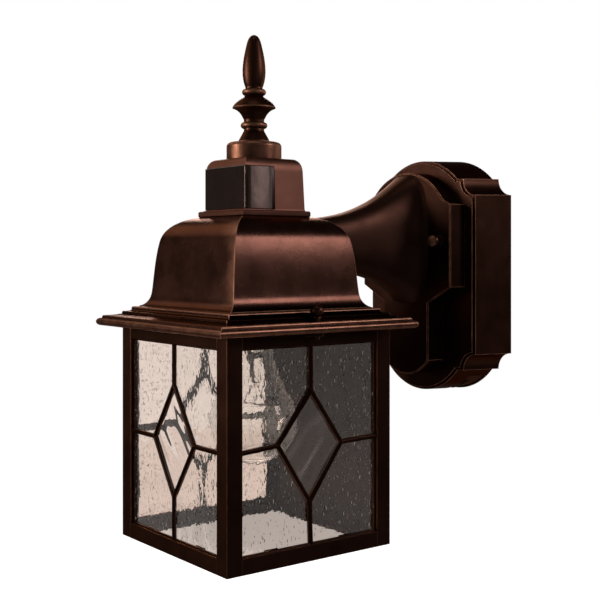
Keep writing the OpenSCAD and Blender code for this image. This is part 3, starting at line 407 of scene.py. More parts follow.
def round_hips(bm, width, lowest=-1, nearest=0):
    """Rounds the four mitred edges of a square body's outer face, marks them as rubbed and gives the marks
    back."""
    def on_hip(v):
        return abs(abs(v.co.x) - abs(v.co.y - AXIS_Y)) < 1e-5 and abs(v.co.x) > nearest

    hips = [e for e in bm.edges if e.is_convex and all(on_hip(v) for v in e.verts)
            and e.verts[0].co.x*e.verts[1].co.x > 0 and e.calc_face_angle() > radians(20)
            and min(v.co.z for v in e.verts) >= lowest]
    layer = rub_and_shade(bm)
    strips = bmesh.ops.bevel(bm, geom=hips, offset=width, offset_type="OFFSET", segments=4, affect="EDGES",
                             profile=0.5, material=-1, clamp_overlap=True)["faces"]
    mark(strips, layer, 1)
    return layer


def slice_at(bm, point, normal, **clear):
    """Cuts the faces along a plane, and clears one side of it when asked to."""
    bmesh.ops.bisect_plane(bm, geom=bm.verts[:] + bm.edges[:] + bm.faces[:], plane_co=point, plane_no=normal,
                           **clear)


roof_outer = (
    [(76, EAVE)] + arc(77.19, EAVE + 2.6, 2.59, -80, 90, 20)
    + [(76.7, EAVE + 5.1), (76.5, EAVE + 6.5), (75.9, EAVE + 7.1), (CAGE + 5, LEDGE - 0.6)]
    + [(CAGE + 1, LEDGE + 0.2), (CAGE + 0.4, LEDGE + 0.4)] + arc(CAGE - 0.4, LEDGE + 1.3, 0.8, 0, 90, 8)
    + curve((CAGE - 0.6, LEDGE + 2.1), (63.4, LEDGE + 2.2), (61.8, LEDGE + 2.5), (61.5, LEDGE + 3.4))[1:]
    + arc(60.5, LEDGE + 4.4, 1, 0, 90, 8) + [(57.8, LEDGE + 5.4)]
    + curve((57.4, LEDGE + 6), (54.4, -41.2), (52, -38), FLARE_TOP, steps=20)
    + curve(FLARE_TOP, (50.25, -25.2), (49.9, -9.5), SHOULDER, steps=24)[1:]
    + curve(SHOULDER, (44.6, 13.7), (34.5, 17.7), (28, TOP), steps=24)[1:])
roof_inner = (
    [(ROD_HOLE_R, TOP), (ROD_HOLE_R, TOP - CEILING), (26, TOP - CEILING)]
    + curve((36, 14.4), (44.1, 9), (44.6, 2), INNER_SHOULDER, steps=10)
    + curve(INNER_SHOULDER, (46.9, -16), (47.5, -36), (54.4, -43.6), steps=12)[1:]
    + [(58.5, LEDGE + 1.2), (62.5, LEDGE - 1.6), (62.5, EAVE), (66.6, EAVE), (66.6, LEDGE - 3)]
    + [(74.8, LEDGE - 3), (74.8, EAVE)])
bm = turned(roof_outer + roof_inner, 4, closed=True, diagonal=True)
for side in (-1, 1):
    post(bm, 32, BOSS_R*MM, BOSS_R*MM, BOSS_TALL*MM,
         Matrix.Translation((side*BOSS_X*MM, AXIS_Y, (EAVE + BOSS_TALL/2)*MM)))
layer = round_hips(bm, HIP_ROUND)

# Cuts alongside the two front hips give the copper points to fade across.
for side in (-1, 1):
    for away in (4*MM, 10*MM, 20*MM):
        slice_at(bm, (0, AXIS_Y - away, 0), (side, 1, 0))

# The bead and the edge of the upper step are evenly rubbed, and the steps between them are darkened as
# painted shade, less on the front. On the bell's front the copper fades away from the right hip, partly
# rubbed and partly a painted highlight, and a band across its middle is darkened as painted shade.
BEAD_RUBBED = 0.3
STEP_RUBBED = 0.5
# Copper on the bell's front near its right hip: partly rubbed wear, partly a painted highlight.
HIP_RUB_AND_HIGHLIGHT = 0.45
HIP_FADE = 20
# A band across the middle of the bell's front is darkened: painted shade.
MIDDLE_SHADE = 0.3
MIDDLE_SHADE_Z = -11
MIDDLE_SHADE_TALL = 10
# The steps under the bell are darkened towards black, less so on its front: painted shade.
SHADE_TOP = LEDGE + 9.5
SHADE_FADE = 3
FRONT_SHADE = 0.3


def within(face, lowest, highest, least_outward=0):
    """Whether a face lies between two heights and reaches out so far, in millimetres."""
    heights = [v.co.z/MM for v in face.verts]
    outward = max(max(abs(v.co.x), abs(v.co.y - AXIS_Y)) for v in face.verts)/MM
    return lowest < min(heights) and max(heights) < highest and outward > least_outward


for face in bm.faces:
    middle = face.calc_center_median()
    faces_front = AXIS_Y - middle.y > abs(middle.x)
    bell_front = faces_front and within(face, LEDGE + 5.5, TOP - 3)
    step_edge = within(face, LEDGE + 4.3, LEDGE + 5.45, 60.4)
    recess = within(face, EAVE + 5.15, SHADE_TOP, 52.5) and not step_edge
    even = BEAD_RUBBED if within(face, EAVE - 0.1, EAVE + 5.3, 76.6) else STEP_RUBBED if step_edge else 0
    for corner in face.loops:
        at = corner.vert.co
        off_hip = (AXIS_Y - at.y - abs(at.x))/MM
        on_right = bell_front and at.x > 0
        share = max(corner[layer][0], even, HIP_RUB_AND_HIGHLIGHT*max(0, 1 - off_hip/HIP_FADE)**2 if on_right else 0)
        if bell_front and share < 0.5:
            middling = min(1, max(0, off_hip)/HIP_FADE)
            share -= MIDDLE_SHADE*exp(-((at.z/MM - MIDDLE_SHADE_Z)/MIDDLE_SHADE_TALL)**2)*middling
        if recess and share < 0.5:
            share = -min(1, (SHADE_TOP - at.z/MM)/SHADE_FADE)*(FRONT_SHADE if faces_front else 1)
        corner[layer] = (share, share, share, 1)
roof_bronze = bronze("bronze_roof", (0.085, 0.035, 0.025), (0.115, 0.048, 0.034), gloss=0.26)
piece("bell_roof", bm, roof_bronze, "fixture", ["roof"], smooth=24)

# ---- Arm ----
# The hollow trumpet is cast on its own and screwed from inside to the roof and through the front plate.
# Its section is a softly cornered rectangle that swells towards the plate.
arm_low, arm_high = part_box("arm")
TIP = arm_low.y/MM
BASE = arm_high.y/MM
RUN = BASE - TIP
TOP_LINE = [(TIP, 18.6), (TIP + 0.62*RUN, 18.6), (TIP + 0.83*RUN, 43.5), (BASE, 54)]
LOW_LINE = [(TIP, -18.5), (TIP + 0.63*RUN, -16.5), (TIP + 0.78*RUN, -27.5), (BASE, -43.7)]
SIDE_LINE = [(TIP, 14.5), (TIP + 0.8*RUN, 14.5), (TIP + 0.97*RUN, 15.3), (BASE, 25.5)]
SQUARENESS = 0.68
RINGS = 48
RING_SPREAD = 0.7
arm_lines = [curve(*line, steps=60) for line in (TOP_LINE, LOW_LINE, SIDE_LINE)]


def height_at(points, y):
    """Height of a chain of points where it passes y."""
    for (y0, h0), (y1, h1) in zip(points, points[1:]):
        if y <= y1:
            return h0 + (h1 - h0)*(y - y0)/(y1 - y0)
    return points[-1][1]


def section(y):
    """Half width, middle and half height of the arm at a distance along it."""
    top, low, half = (height_at(line, y) for line in arm_lines)
    return half, (top + low)/2, (top - low)/2


def squared(c):
    """A circle's coordinate, drawn out towards the corners."""
    return copysign(abs(c)**SQUARENESS, c)


bm = bmesh.new()
ring = bmesh.ops.create_circle(bm, cap_ends=True, segments=72, radius=1)["verts"]
y = TIP
half, mid, tall = section(TIP)
for v in ring:
    v.co = (half*squared(v.co.x), TIP, mid + tall*squared(v.co.y))
end = bm.faces[:]
for i in range(1, RINGS + 1):
    y_next = TIP + RUN*(i/RINGS)**RING_SPREAD
    half_next, mid_next, tall_next = section(y_next)
    grown = bmesh.ops.extrude_face_region(bm, geom=end)["geom"]
    end = [g for g in grown if isinstance(g, bmesh.types.BMFace)]
    bmesh.ops.transform(bm, verts=[g for g in grown if isinstance(g, bmesh.types.BMVert)],
                        matrix=Matrix.Translation((0, y_next, mid_next))
                        @ Matrix.Diagonal((half_next/half, 1, tall_next/tall, 1))
                        @ Matrix.Translation((0, -y, -mid)))
    y, half, mid, tall = y_next, half_next, mid_next, tall_next
bmesh.ops.scale(bm, vec=(MM, MM, MM), verts=bm.verts)
bmesh.ops.recalc_face_normals(bm, faces=bm.faces)
arm_bronze = bronze("bronze_arm", (0.055, 0.023, 0.016), (0.075, 0.032, 0.022), gloss=0.45)
arm_piece = piece("trumpet_arm", bm, arm_bronze, "fixture", ["arm"], smooth=50, even=False)


def cut(target, bm):
    """Cuts the shape of a bmesh out of a piece for good."""
    mesh = bpy.data.meshes.new("cutter")
    bm.to_mesh(mesh)
    bm.free()
    cutter = bpy.data.objects.new("cutter", mesh)
    bpy.context.scene.collection.objects.link(cutter)
    saw = target.modifiers.new("Cut", "BOOLEAN")
    saw.operation = "DIFFERENCE"
    saw.solver = "EXACT"
    saw.object = cutter
    target.modifiers.move(len(target.modifiers) - 1, 0)
    shaped = bpy.data.meshes.new_from_object(target.evaluated_get(bpy.context.evaluated_depsgraph_get()))
    shaped.name = target.name
    target.modifiers.remove(saw)
    target.data = shaped
    bpy.data.objects.remove(cutter)


cut(arm_piece, turned([(0, EAVE)] + roof_outer + [(0, TOP)], 4, diagonal=True))

# ---- Cupola ----
# A square cap of cast metal with a flanged foot; its front half is open from foot to brow for the sensor.
# It came from the mould a little rough, and is rubbed to a lighter copper than the roof.
CUPOLA_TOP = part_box("cupola")[1].z/MM
HALF = 24.0
WALL = 1.6
CUPOLA_HIP = 0.7*MM
FOOT_TALL = 4.1
FOOT_SHADE = -0.55
LENS_LOW = TOP + 4.6
LENS_TALL = 29.2
OPENING_WIDE = 80
OPENING_DEEP = 40
copper_cast = bronze("copper_rubbed_casting", (0.16, 0.066, 0.046), (0.23, 0.096, 0.068), gloss=0.46,
                     grit=0.06*MM)
cupola_outer = (
    [(26.95, TOP)] + arc(26.75, TOP + 1, 1, -45, 0, 4) + arc(26.75, TOP + 3, 1, 0, 90, 5)
    + [(HALF + 1.2, TOP + 4.2), (HALF + 0.9, TOP + 5.4), (HALF, CUPOLA_TOP - 9)]
    + curve((HALF, CUPOLA_TOP - 9), (HALF - 0.2, CUPOLA_TOP - 3), (HALF - 2.6, CUPOLA_TOP - 0.5),
            (19, CUPOLA_TOP), steps=16)[1:])
cupola_inner = [(ROD_HOLE_R, CUPOLA_TOP), (ROD_HOLE_R, CUPOLA_TOP - CEILING),
                (HALF - WALL, CUPOLA_TOP - CEILING), (HALF - WALL, TOP)]
bm = turned(cupola_outer + cupola_inner, 4, closed=True, diagonal=True)
layer = round_hips(bm, CUPOLA_HIP, TOP*MM, 20*MM)
# The cupola's foot is darkened towards black: painted shade.
mark([face for face in bm.faces if within(face, TOP - 0.1, TOP + FOOT_TALL)], layer, FOOT_SHADE)
cupola_piece = piece("sensor_cupola", bm, copper_cast, "fixture", ["cupola"], smooth=24)
bm = bmesh.new()
bmesh.ops.create_cube(bm, size=1, matrix=Matrix.Translation(
    (0, AXIS_Y - OPENING_DEEP/2*MM, (LENS_LOW + LENS_TALL/2)*MM))
    @ Matrix.Diagonal((OPENING_WIDE*MM, OPENING_DEEP*MM, LENS_TALL*MM, 1)))
cut(cupola_piece, bm)

# ---- Sensor behind its lens ----
# The dark lens wraps the cupola's front and two cheeks, and each cheek is a little domed. Behind it a green
# board carries the round can of the infrared sensor and a few parts.
LENS_EDGE = 0.6*MM
CHEEK_SHELL = (1.2*MM, 0.6*MM)
CHEEK_ROUND = 5*MM
CHEEK_SWELL = 0.8*MM
CHEEK_LEAN = 3.5*MM
lens_low, lens_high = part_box("sensor_lens")
lens_dark, tree, skin = finish("smoked_lens", (0.01, 0.004, 0.003), 0.3, 0.0, Specular_IOR_Level=1.0,
                               Specular_Tint=(1, 0.66, 0.57, 1))
mottle = grain(tree, 110, 4)
place = node(tree, "SeparateXYZ", Vector=own_space(tree)).outputs
on_cheek = fit(tree, maths(tree, "ABSOLUTE", place["X"]), *(lens_high.x - inside for inside in CHEEK_SHELL))
front_end = fit(tree, place["Y"], lens_low.y, lens_low.y + CHEEK_ROUND, interpolation_type="SMOOTHSTEP")
rear_end = fit(tree, place["Y"], lens_high.y, lens_high.y - CHEEK_ROUND, interpolation_type="SMOOTHSTEP")
swell = maths(tree, "MULTIPLY", front_end, rear_end)
lean = maths(tree, "MULTIPLY", on_cheek, fit(tree, place["Z"], lens_high.z, lens_low.z))
plug(tree, skin, Base_Color=blend(tree, mottle, (0.005, 0.002, 0.0013), (0.01, 0.004, 0.0026)),
     Roughness=maths(tree, "MULTIPLY_ADD", mottle, 0.08, fit(tree, on_cheek, 0, 1, 0.14, 0.32)))
relief(tree, skin, (grain(tree, 90, 2), 0.3*MM), (swell, CHEEK_SWELL), (lean, CHEEK_LEAN))
lens = soften(merged_copy("sensor_lens"), LENS_EDGE, segments=3, angle=50, share=0)
piece("smoked_lens_shell", lens, lens_dark, "fixture", ["sensor_lens"])
board_green, tree, skin = finish("solder_mask", (0.02, 0.13, 0.05), 0.3, 0.0, Coat_Weight=0.4)
tracks = node(tree, "TexWave", Vector=own_space(tree), Scale=160, Distortion=9).outputs["Fac"]
plug(tree, skin, Base_Color=blend(tree, fit(tree, tracks, 0.45, 0.55), (0.016, 0.1, 0.04),
                                  (0.03, 0.17, 0.07)))
wear(board_green, "sensor_board")
wear(bare_metal("bright_nickel", (0.66, 0.64, 0.6), 0.2), "infrared_sensor", "bulb_cap")

# ---- Collar and finial ----
# A round collar caps the cupola and the turned finial screws down on it, onto the rod that holds the
# whole head together. The collar's upper edge, the finial's rings and the rim of its disc are rubbed bright.
COLLAR_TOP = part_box("collar")[1].z/MM
COLLAR_R = 18.9
COLLAR_HOLE_R = 5.1
COLLAR_ROUND = 3.2
bm = turned([(COLLAR_HOLE_R, CUPOLA_TOP), (COLLAR_R, CUPOLA_TOP)]
            + arc(COLLAR_R - COLLAR_ROUND, COLLAR_TOP - COLLAR_ROUND, COLLAR_ROUND, 0, 75, 12)
            + [(12, COLLAR_TOP), (COLLAR_HOLE_R, COLLAR_TOP)], 96, closed=True)
rub_and_shade(bm, lambda p: 0.22 + 0.4*exp(-((p.z/MM - COLLAR_TOP + 1.5)/1.5)**2))
collar_copper = bronze("copper_collar", (0.08, 0.032, 0.020), (0.125, 0.05, 0.032), gloss=0.3, grit=0.1*MM)
piece("round_collar", bm, collar_copper, "fixture", ["collar"], smooth=40)

finial_low, finial_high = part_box("finial")
SEAT = finial_low.z/MM
TALL = finial_high.z/MM - SEAT
RING_ROUND = 2.2
RIDGES = ((11.7, 1.6), (23.75, 0.5), (34.5, 1.6), (0.3, 0.4))
finial_outline = (
    [(0, 0), (10.9, 0), (10.9, 0.6)] + curve((10.9, 0.6), (10, 2.8), (8.3, 5.4), (7, 8), steps=12)
    + arc(7, 11.7, RING_ROUND, -90, 90, 16)
    + curve((7, 15.6), (8.6, 18.4), (9.4, 21.6), (14.9, 23.6), steps=16)
    + curve((14.9, 23.9), (13.6, 27), (9.6, 29.6), (7, 31), steps=16)
    + arc(6.1, 34.5, RING_ROUND, -90, 90, 16)
    + curve((5.9, 37.7), (8.5, 44), (8.8, 52), (5.6, 65.4), steps=24)
    + curve((5.6, 65.4), (4.8, 68.6), (4, TALL - 0.2), (0, TALL), steps=12)[1:])
bm = turned([(r, SEAT + z) for r, z in finial_outline], 96)
rub_and_shade(bm, lambda p: sum(0.7*exp(-((p.z/MM - SEAT - at)/wide)**2) for at, wide in RIDGES))
finial_bronze = bronze("bronze_finial", (0.06, 0.023, 0.014), (0.09, 0.035, 0.022), gloss=0.38)
piece("turned_finial", bm, finial_bronze, "fixture", ["finial"], smooth=45)

# ---- Lampholder ----
# A glazed porcelain body hangs from the rod, with a rolled brass screw shell inside. Two leads come to it
# down the roof, beside the sensor's grey cable.
porcelain, tree, skin = finish("glazed_porcelain", (0.84, 0.82, 0.76), 0.12, 0.0, Coat_Weight=0.5,
                               Coat_Roughness=0.05)
plug(tree, skin, Base_Color=blend(tree, grain(tree, 45, 4), (0.78, 0.75, 0.68), (0.86, 0.84, 0.79)))
relief(tree, skin, (grain(tree, 60, 2), 0.2*MM))
wear(porcelain, "lampholder")
wear(plastic("black_sleeving", (0.025, 0.025, 0.026), 0.5), "live_lead")
wear(plastic("white_sleeving", (0.7, 0.7, 0.67), 0.5), "neutral_lead")
wear(plastic("grey_sheath", (0.22, 0.22, 0.23), 0.5), "sensor_cable")

# ---- Bulb ----
# An ordinary clear bulb with a nickel screw cap, a glass stem and a drawn tungsten coil. It screws up into
# the lampholder once the cage is down.
clear_glass, tree, skin = finish("bulb_glass", (0.98, 0.98, 0.97), 0.0, 0.0, Transmission_Weight=1.0,
                                 IOR=1.5)
relief(tree, skin, (grain(tree, 60, 2), 0.06*MM))
wear(clear_glass, "bulb_glass", "bulb_stem")
wear(plastic("insulator_glass", (0.012, 0.012, 0.014), 0.15), "bulb_tip")
wear(bare_metal("tungsten", (0.28, 0.27, 0.27), 0.4), "bulb_filament")

# ---- Cage frame ----
# Four folded corner posts are lapped over a top and a bottom rail of the same sheet and soldered.
# The back is closed by a plain sheet, darker towards its top as painted shade, and the bottom is open for
# the bulb.
POST_EDGE = 0.35*MM
RAIL_EDGE = 0.3*MM
TOP_SHADE_FROM = -0.16
TOP_SHADE_TO = -0.09


def painted_top_shade(tree):
    """How the back sheet's two tones are spread: the darker one towards the top, as painted shade."""
    height = node(tree, "SeparateXYZ", Vector=own_space(tree)).outputs["Z"]
    return fit(tree, height, TOP_SHADE_FROM, TOP_SHADE_TO)


sheet_bronze = bronze("bronze_sheet", (0.055, 0.022, 0.014), (0.08, 0.032, 0.021), gloss=0.34)
# The upper rail under the eave gets a darker bronze than the other sheet: painted shade.
upper_rail_shade_bronze = bronze("bronze_upper_rail_painted_shade", (0.028, 0.012, 0.008), (0.042, 0.018, 0.012), gloss=0.4)
back_bronze = bronze("bronze_back_sheet", (0.060, 0.040, 0.032), (0.020, 0.013, 0.010), gloss=0.55,
                     rim=(0.1, 0.08, 0.07), spread=painted_top_shade)
piece("folded_posts", soften(merged_copy("corner_posts"), POST_EDGE, share=0.25), sheet_bronze, "cage",
      ["corner_posts"])
piece("upper_rail", soften(merged_copy("top_rail"), RAIL_EDGE, share=0.1), upper_rail_shade_bronze, "cage",
      ["top_rail"])
piece("lower_rail", soften(merged_copy("bottom_rail"), RAIL_EDGE, share=0.1), sheet_bronze, "cage",
      ["bottom_rail"])
piece("back_sheet", merged_copy("back_panel"), back_bronze, "cage", ["back_panel"],
      even=False)
wear(sheet_bronze, "panel_clips")

# ---- Leaded panels ----
# On three sides lead cames hold a streaky diamond between four seeded panes. The joints are soldered,
# and the cames blackened like the frame. The right-hand panel was soldered a little out of true.
SIDES = {"front": 0, "left": 270, "right": 90}
panel_low, panel_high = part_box("came_front")
BORDER = 4.5
WINDOW = round(panel_high.x/MM, 1) - BORDER
WINDOW_TOP = round(panel_high.z/MM, 1) - BORDER
WINDOW_LOW = round(panel_low.z/MM, 1) + BORDER
MID = (WINDOW_TOP + WINDOW_LOW)/2
PANEL_Y = round((AXIS_Y - (panel_low.y + panel_high.y)/2)/MM, 1)
DIAMOND = (25.0, 36.5)
TIPS = [(DIAMOND[0], MID), (0, MID + DIAMOND[1]), (-DIAMOND[0], MID), (0, MID - DIAMOND[1])]
ENDS = [(WINDOW + 1, MID), (0, WINDOW_TOP + 1), (-WINDOW - 1, MID), (0, WINDOW_LOW - 1)]
TIP_SHIFTS = ((-1.3, 2.2), (0, -1.0), (0, -2.0), (-1.3, 0))
SHIFT_FADE = 0.72
CAME_WIDE = 3.0
CAME_DEEP = 4.0
BORDER_DEEP = 3.9
FLANGE_THICK = 0.8
FLANGE_IN = 1.6
FLANGES = {"front": 3, "left": 5, "right": 3}
TIP_SOLDER = 2.3
END_SOLDER = 1.9
END_SOLDER_IN = 0.985
SOLDER_DEEP = 2.25


def came_bar(bm, start, end, width, thickness=CAME_DEEP, round_off=1.1, inward=0):
    """A came between two points of a panel's plane, with its faces rounded over."""
    a, b = (Vector((x, inward - PANEL_Y, z)) for x, z in (start, end))
    along = b - a
    place = Matrix.Translation((a + b)/2) @ Matrix.Rotation(-atan2(along.z, along.x), 4, "Y")
    shape = bmesh.ops.create_cube(bm, size=1,
                                  matrix=place @ Matrix.Diagonal((along.length, thickness, width, 1)))
    lengthways = [e for v in shape["verts"] for e in v.link_edges
                  if abs((e.verts[1].co - e.verts[0].co).normalized().dot(along.normalized())) > 0.99]
    bmesh.ops.bevel(bm, geom=list(dict.fromkeys(lengthways)), offset=round_off, offset_type="OFFSET",
                    segments=4, affect="EDGES", profile=0.5, material=-1, clamp_overlap=True)


def on_its_side(bm, side):
    """Moves a panel drawn in front of the lantern's axis to its own side of the cage, in metres."""
    if side == "right":
        askew(bm)
    bmesh.ops.scale(bm, vec=(MM, MM, MM), verts=bm.verts)
    bmesh.ops.rotate(bm, cent=(0, 0, 0), matrix=Matrix.Rotation(radians(SIDES[side]), 3, "Z"),
                     verts=bm.verts)
    bmesh.ops.translate(bm, vec=(0, AXIS_Y, 0), verts=bm.verts)
    return bm


def askew(bm):
    """Shifts the tips of the diamond out of true, and what lies round them less and less."""
    for v in bm.verts:
        u, w = v.co.x/DIAMOND[0], (v.co.z - MID)/DIAMOND[1]
        spread = abs(u) + abs(w)
        if spread == 0:
            continue
        fade = 1 if spread <= 1 else max(0, 1 - (spread - 1)/SHIFT_FADE)/spread
        weights = (max(0, -u), max(0, u), max(0, w), max(0, -w))
        v.co.x += sum(fade*k*dx for k, (dx, dz) in zip(weights, TIP_SHIFTS))
        v.co.z += sum(fade*k*dz for k, (dx, dz) in zip(weights, TIP_SHIFTS))


def leading(flange):
    """The cames and solder of one panel, with the width of the flange on the cames' inner side."""
    bm = bmesh.new()
    for i in range(4):
        for far in (TIPS[(i + 1) % 4], ENDS[i]):
            came_bar(bm, TIPS[i], far, CAME_WIDE)
            came_bar(bm, TIPS[i], far, flange, FLANGE_THICK, 0.3, FLANGE_IN)
    inner = BORDER/2
    corners = [(s*(WINDOW + inner), t) for s, t in ((1, WINDOW_TOP + inner), (-1, WINDOW_TOP + inner),
                                                    (-1, WINDOW_LOW - inner), (1, WINDOW_LOW - inner))]
    for i in range(4):
        came_bar(bm, corners[i], corners[(i + 1) % 4], BORDER, BORDER_DEEP)
    blobs = [(tip, TIP_SOLDER) for tip in TIPS]
    blobs += [((END_SOLDER_IN*x, MID + (z - MID)*END_SOLDER_IN), END_SOLDER) for x, z in ENDS]
    for (x, z), wide in blobs:
        bmesh.ops.create_uvsphere(bm, u_segments=24, v_segments=12, radius=1,
                                  matrix=Matrix.Translation((x, -PANEL_Y, z))
                                  @ Matrix.Diagonal((wide, SOLDER_DEEP, wide, 1)))
    rub_and_shade(bm)
    return bm


came_bronze = bronze("blackened_came", (0.022, 0.009, 0.006), (0.04, 0.016, 0.010), gloss=0.36)
for side in SIDES:
    piece("leading_" + side, on_its_side(leading(FLANGES[side]), side), came_bronze, "cage",
          ["came_" + side])

# ---- Seeded panes ----
# Drawn glass with shallow ripples and with the small bubbles, the seeds, that give it its name. Four panes
# are cut to lie round the diamond, each a little smaller than the channels of its cames.
GLASS_THICK = 3.0
SEEDS = 230
SEED_LENGTHS = (0.3, 0.4, 0.6, 0.9, 1.3)
SEED_WIDTHS = (0.11, 0.22)
SEED_THICK = 0.2
SEED_SPREAD = 0.7
SEED_MARGIN = 1.5
PANE_CLEAR = 0.4
DIAMOND_CLEAR = 0.7


def upright_sheet(x, z, wide, tall, across, up):
    """A flat sheet of many faces in a panel's plane."""
    bm = bmesh.new()
    bmesh.ops.create_grid(bm, x_segments=across, y_segments=up, size=0.5)
    bmesh.ops.transform(bm, verts=bm.verts, matrix=Matrix.Translation((x, -PANEL_Y, z))
                        @ Matrix.Diagonal((wide, 1, tall, 1)) @ Matrix.Rotation(radians(90), 4, "X"))
    return bm


def diamond_edge(side_x, side_z, outward):
    """A point on one edge of the diamond, moved outward, and the way that the edge faces."""
    facing = Vector((side_x*DIAMOND[1], 0, side_z*DIAMOND[0])).normalized()
    return Vector((side_x*DIAMOND[0], -PANEL_Y, MID)) + outward*facing, facing


def rippled(bm, ripple):
    """Gives a flat sheet of faces the glass's thickness, and both its faces their ripples."""
    back = bmesh.ops.extrude_face_region(bm, geom=bm.faces[:])["geom"]
    far = {g for g in back if isinstance(g, bmesh.types.BMVert)}
    for v in bm.verts:
        outer = v not in far
        v.co.y = -PANEL_Y + (-1 if outer else 1)*(GLASS_THICK/2 - ripple(v.co.x, v.co.z, outer))
    bmesh.ops.recalc_face_normals(bm, faces=bm.faces)


def seeded_ripple(x, z, outer):
    """Depth of the shallow ripples of drawn glass, at most a quarter of a millimetre."""
    shift = 40 if outer else 90
    slow = noise.noise((x/10 + shift, z/16, 3.1))
    quick = noise.noise((x/4.6 - shift, z/6, 7.7))
    return 0.12 + 0.07*slow + 0.018*quick


def joined(parts):
    """One bmesh of several."""
    whole = bmesh.new()
    for part in parts:
        mesh = bpy.data.meshes.new("part")
        part.to_mesh(mesh)
        part.free()
        whole.from_mesh(mesh)
        bpy.data.meshes.remove(mesh)
    return whole


def seeded_pane(side_x, side_z):
    """One of the four panes round the diamond, with its bubbles as a second material."""
    wide, tall = WINDOW + 2, (WINDOW_TOP - WINDOW_LOW)/2 + 2
    bm = upright_sheet(side_x*(wide/2 + PANE_CLEAR), MID + side_z*(tall/2 + PANE_CLEAR),
                       wide - 2*PANE_CLEAR, tall - 2*PANE_CLEAR, 60, 70)
    near, facing = diamond_edge(side_x, side_z, DIAMOND_CLEAR)
    slice_at(bm, near, facing, clear_inner=True)
    rippled(bm, seeded_ripple)
    bubbles = bmesh.new()
    count = 0
    while count < SEEDS:
        x, z = side_x*random.uniform(2, WINDOW - 0.5), MID + side_z*random.uniform(2, tall - 3)
        if (Vector((x, -PANEL_Y, z)) - near).dot(facing) < SEED_MARGIN:
            continue
        count += 1
        long = random.choice(SEED_LENGTHS)
        place = Matrix.Translation((x, -PANEL_Y + random.uniform(-SEED_SPREAD, SEED_SPREAD), z))
        shape = Matrix.Diagonal((random.uniform(*SEED_WIDTHS), SEED_THICK, long, 1))
        bmesh.ops.create_uvsphere(bubbles, u_segments=6, v_segments=6, radius=1, matrix=place @ shape)
    for face in bubbles.faces:
        face.material_index = 1
    return joined([bm, bubbles])


seeded, tree, skin = finish("seeded_glass", (0.92, 0.83, 0.775), 0.0, 0.0, Transmission_Weight=1.0, IOR=1.5)
relief(tree, skin, (grain(tree, 380, 1, (1, 1, 1.5)), 0.055*MM))
# The seeds are matt specks, pale in some places and dark in others: painted glints and painted dark edges of
# bubbles.
seed_painted_glint, tree, skin = finish("seed_bubble_painted_glint", (0.78, 0.74, 0.71), 0.5, 0.0)
plug(tree, skin, Base_Color=blend(tree, fit(tree, grain(tree, 300, 2), 0.46, 0.6), (0.13, 0.115, 0.105),
                                  (0.74, 0.67, 0.63)))
random.seed(11)
for side in SIDES:
    panes = joined([seeded_pane(side_x, side_z) for side_x in (-1, 1) for side_z in (-1, 1)])
    panel = piece("seeded_panes_" + side, on_its_side(panes, side), seeded, "cage",
                  ["seeded_glass_" + side], smooth=60, even=False)
    panel.data.materials.append(seed_painted_glint)

# ---- Streaky diamonds ----
# Each diamond is cut from cathedral glass with slanting waves and faint white wisps. The front one was laid
# the other way round, so that its streaks lean to the other side.
LEAN_UP = 0.77
LEAN_SIDEWAYS = 0.64


def streaky_ripple(lean):
    """Depth of the slow slanting waves of streaky glass, which lean to one side or the other."""
    def depth(x, z, outer):
        along, across = LEAN_UP*z + LEAN_SIDEWAYS*lean*x, LEAN_UP*x - LEAN_SIDEWAYS*lean*z
        shift = 10 if outer else 70
        broad = noise.noise((across/11, along/30 - shift, 5.0))
        return 0.5 + 0.3*broad + 0.12*noise.noise((across/4.5 + shift, along/28, 1.3))
    return depth


def diamond_pane(lean):
    """The diamond, cut from a sheet along its four edges."""
    bm = upright_sheet(0, MID, 2*DIAMOND[0], 2*DIAMOND[1], 64, 92)
    for side_x in (-1, 1):
        for side_z in (-1, 1):
            near, facing = diamond_edge(side_x, side_z, -DIAMOND_CLEAR)
            slice_at(bm, near, facing, clear_outer=True)
    rippled(bm, streaky_ripple(lean))
    return bm


for side in SIDES:
    lean, turn = (-1, (0, radians(-35), 0)) if side == "front" else (1, (radians(-40), 0, 0))
    streaky, tree, skin = finish("streaky_glass_" + side, (0.93, 0.84, 0.79), 0.02, 0.0, IOR=1.5)
    wisps = grain(tree, 150, 4, (1, 1, 7), turn)
    plug(tree, skin, Transmission_Weight=fit(tree, wisps, 0.5, 0.7, 1.0, 0.94))
    piece("streaky_diamond_" + side, on_its_side(diamond_pane(lean), side), streaky, "cage",
          ["diamond_glass_" + side], smooth=60, even=False)

# ---- Ball screws ----
# Two screws with ball heads pass through the eave into lugs of the cage; undone by hand, they let it drop.
# They are turned from brass and lacquered like the cap nuts, but not rubbed.
SHANK_R = 1.95*MM
SHANK = 16*MM
NECK_R = (3*MM, 2.6*MM)
NECK_TALL = 1.6*MM
NECK_DOWN = 8.2*MM
BALL_R = 4.5*MM
SCREW_EDGE = 0.2*MM
for side in ("left", "right"):
    low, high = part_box("ball_screw_" + side)
    x = (low.x + high.x)/2
    bm = bmesh.new()
    post(bm, 32, SHANK_R, SHANK_R, SHANK, Matrix.Translation((x, AXIS_Y, low.z + SHANK/2)))
    post(bm, 40, *NECK_R, NECK_TALL, Matrix.Translation((x, AXIS_Y, high.z - NECK_DOWN)))
    soften(bm, SCREW_EDGE)
    ball(bm, BALL_R, (x, AXIS_Y, high.z - BALL_R))
    rub_and_shade(bm)
    piece("ball_head_screw_" + side, bm, fixing_bronze, side + "_ball_screw",
          ["ball_screw_" + side])

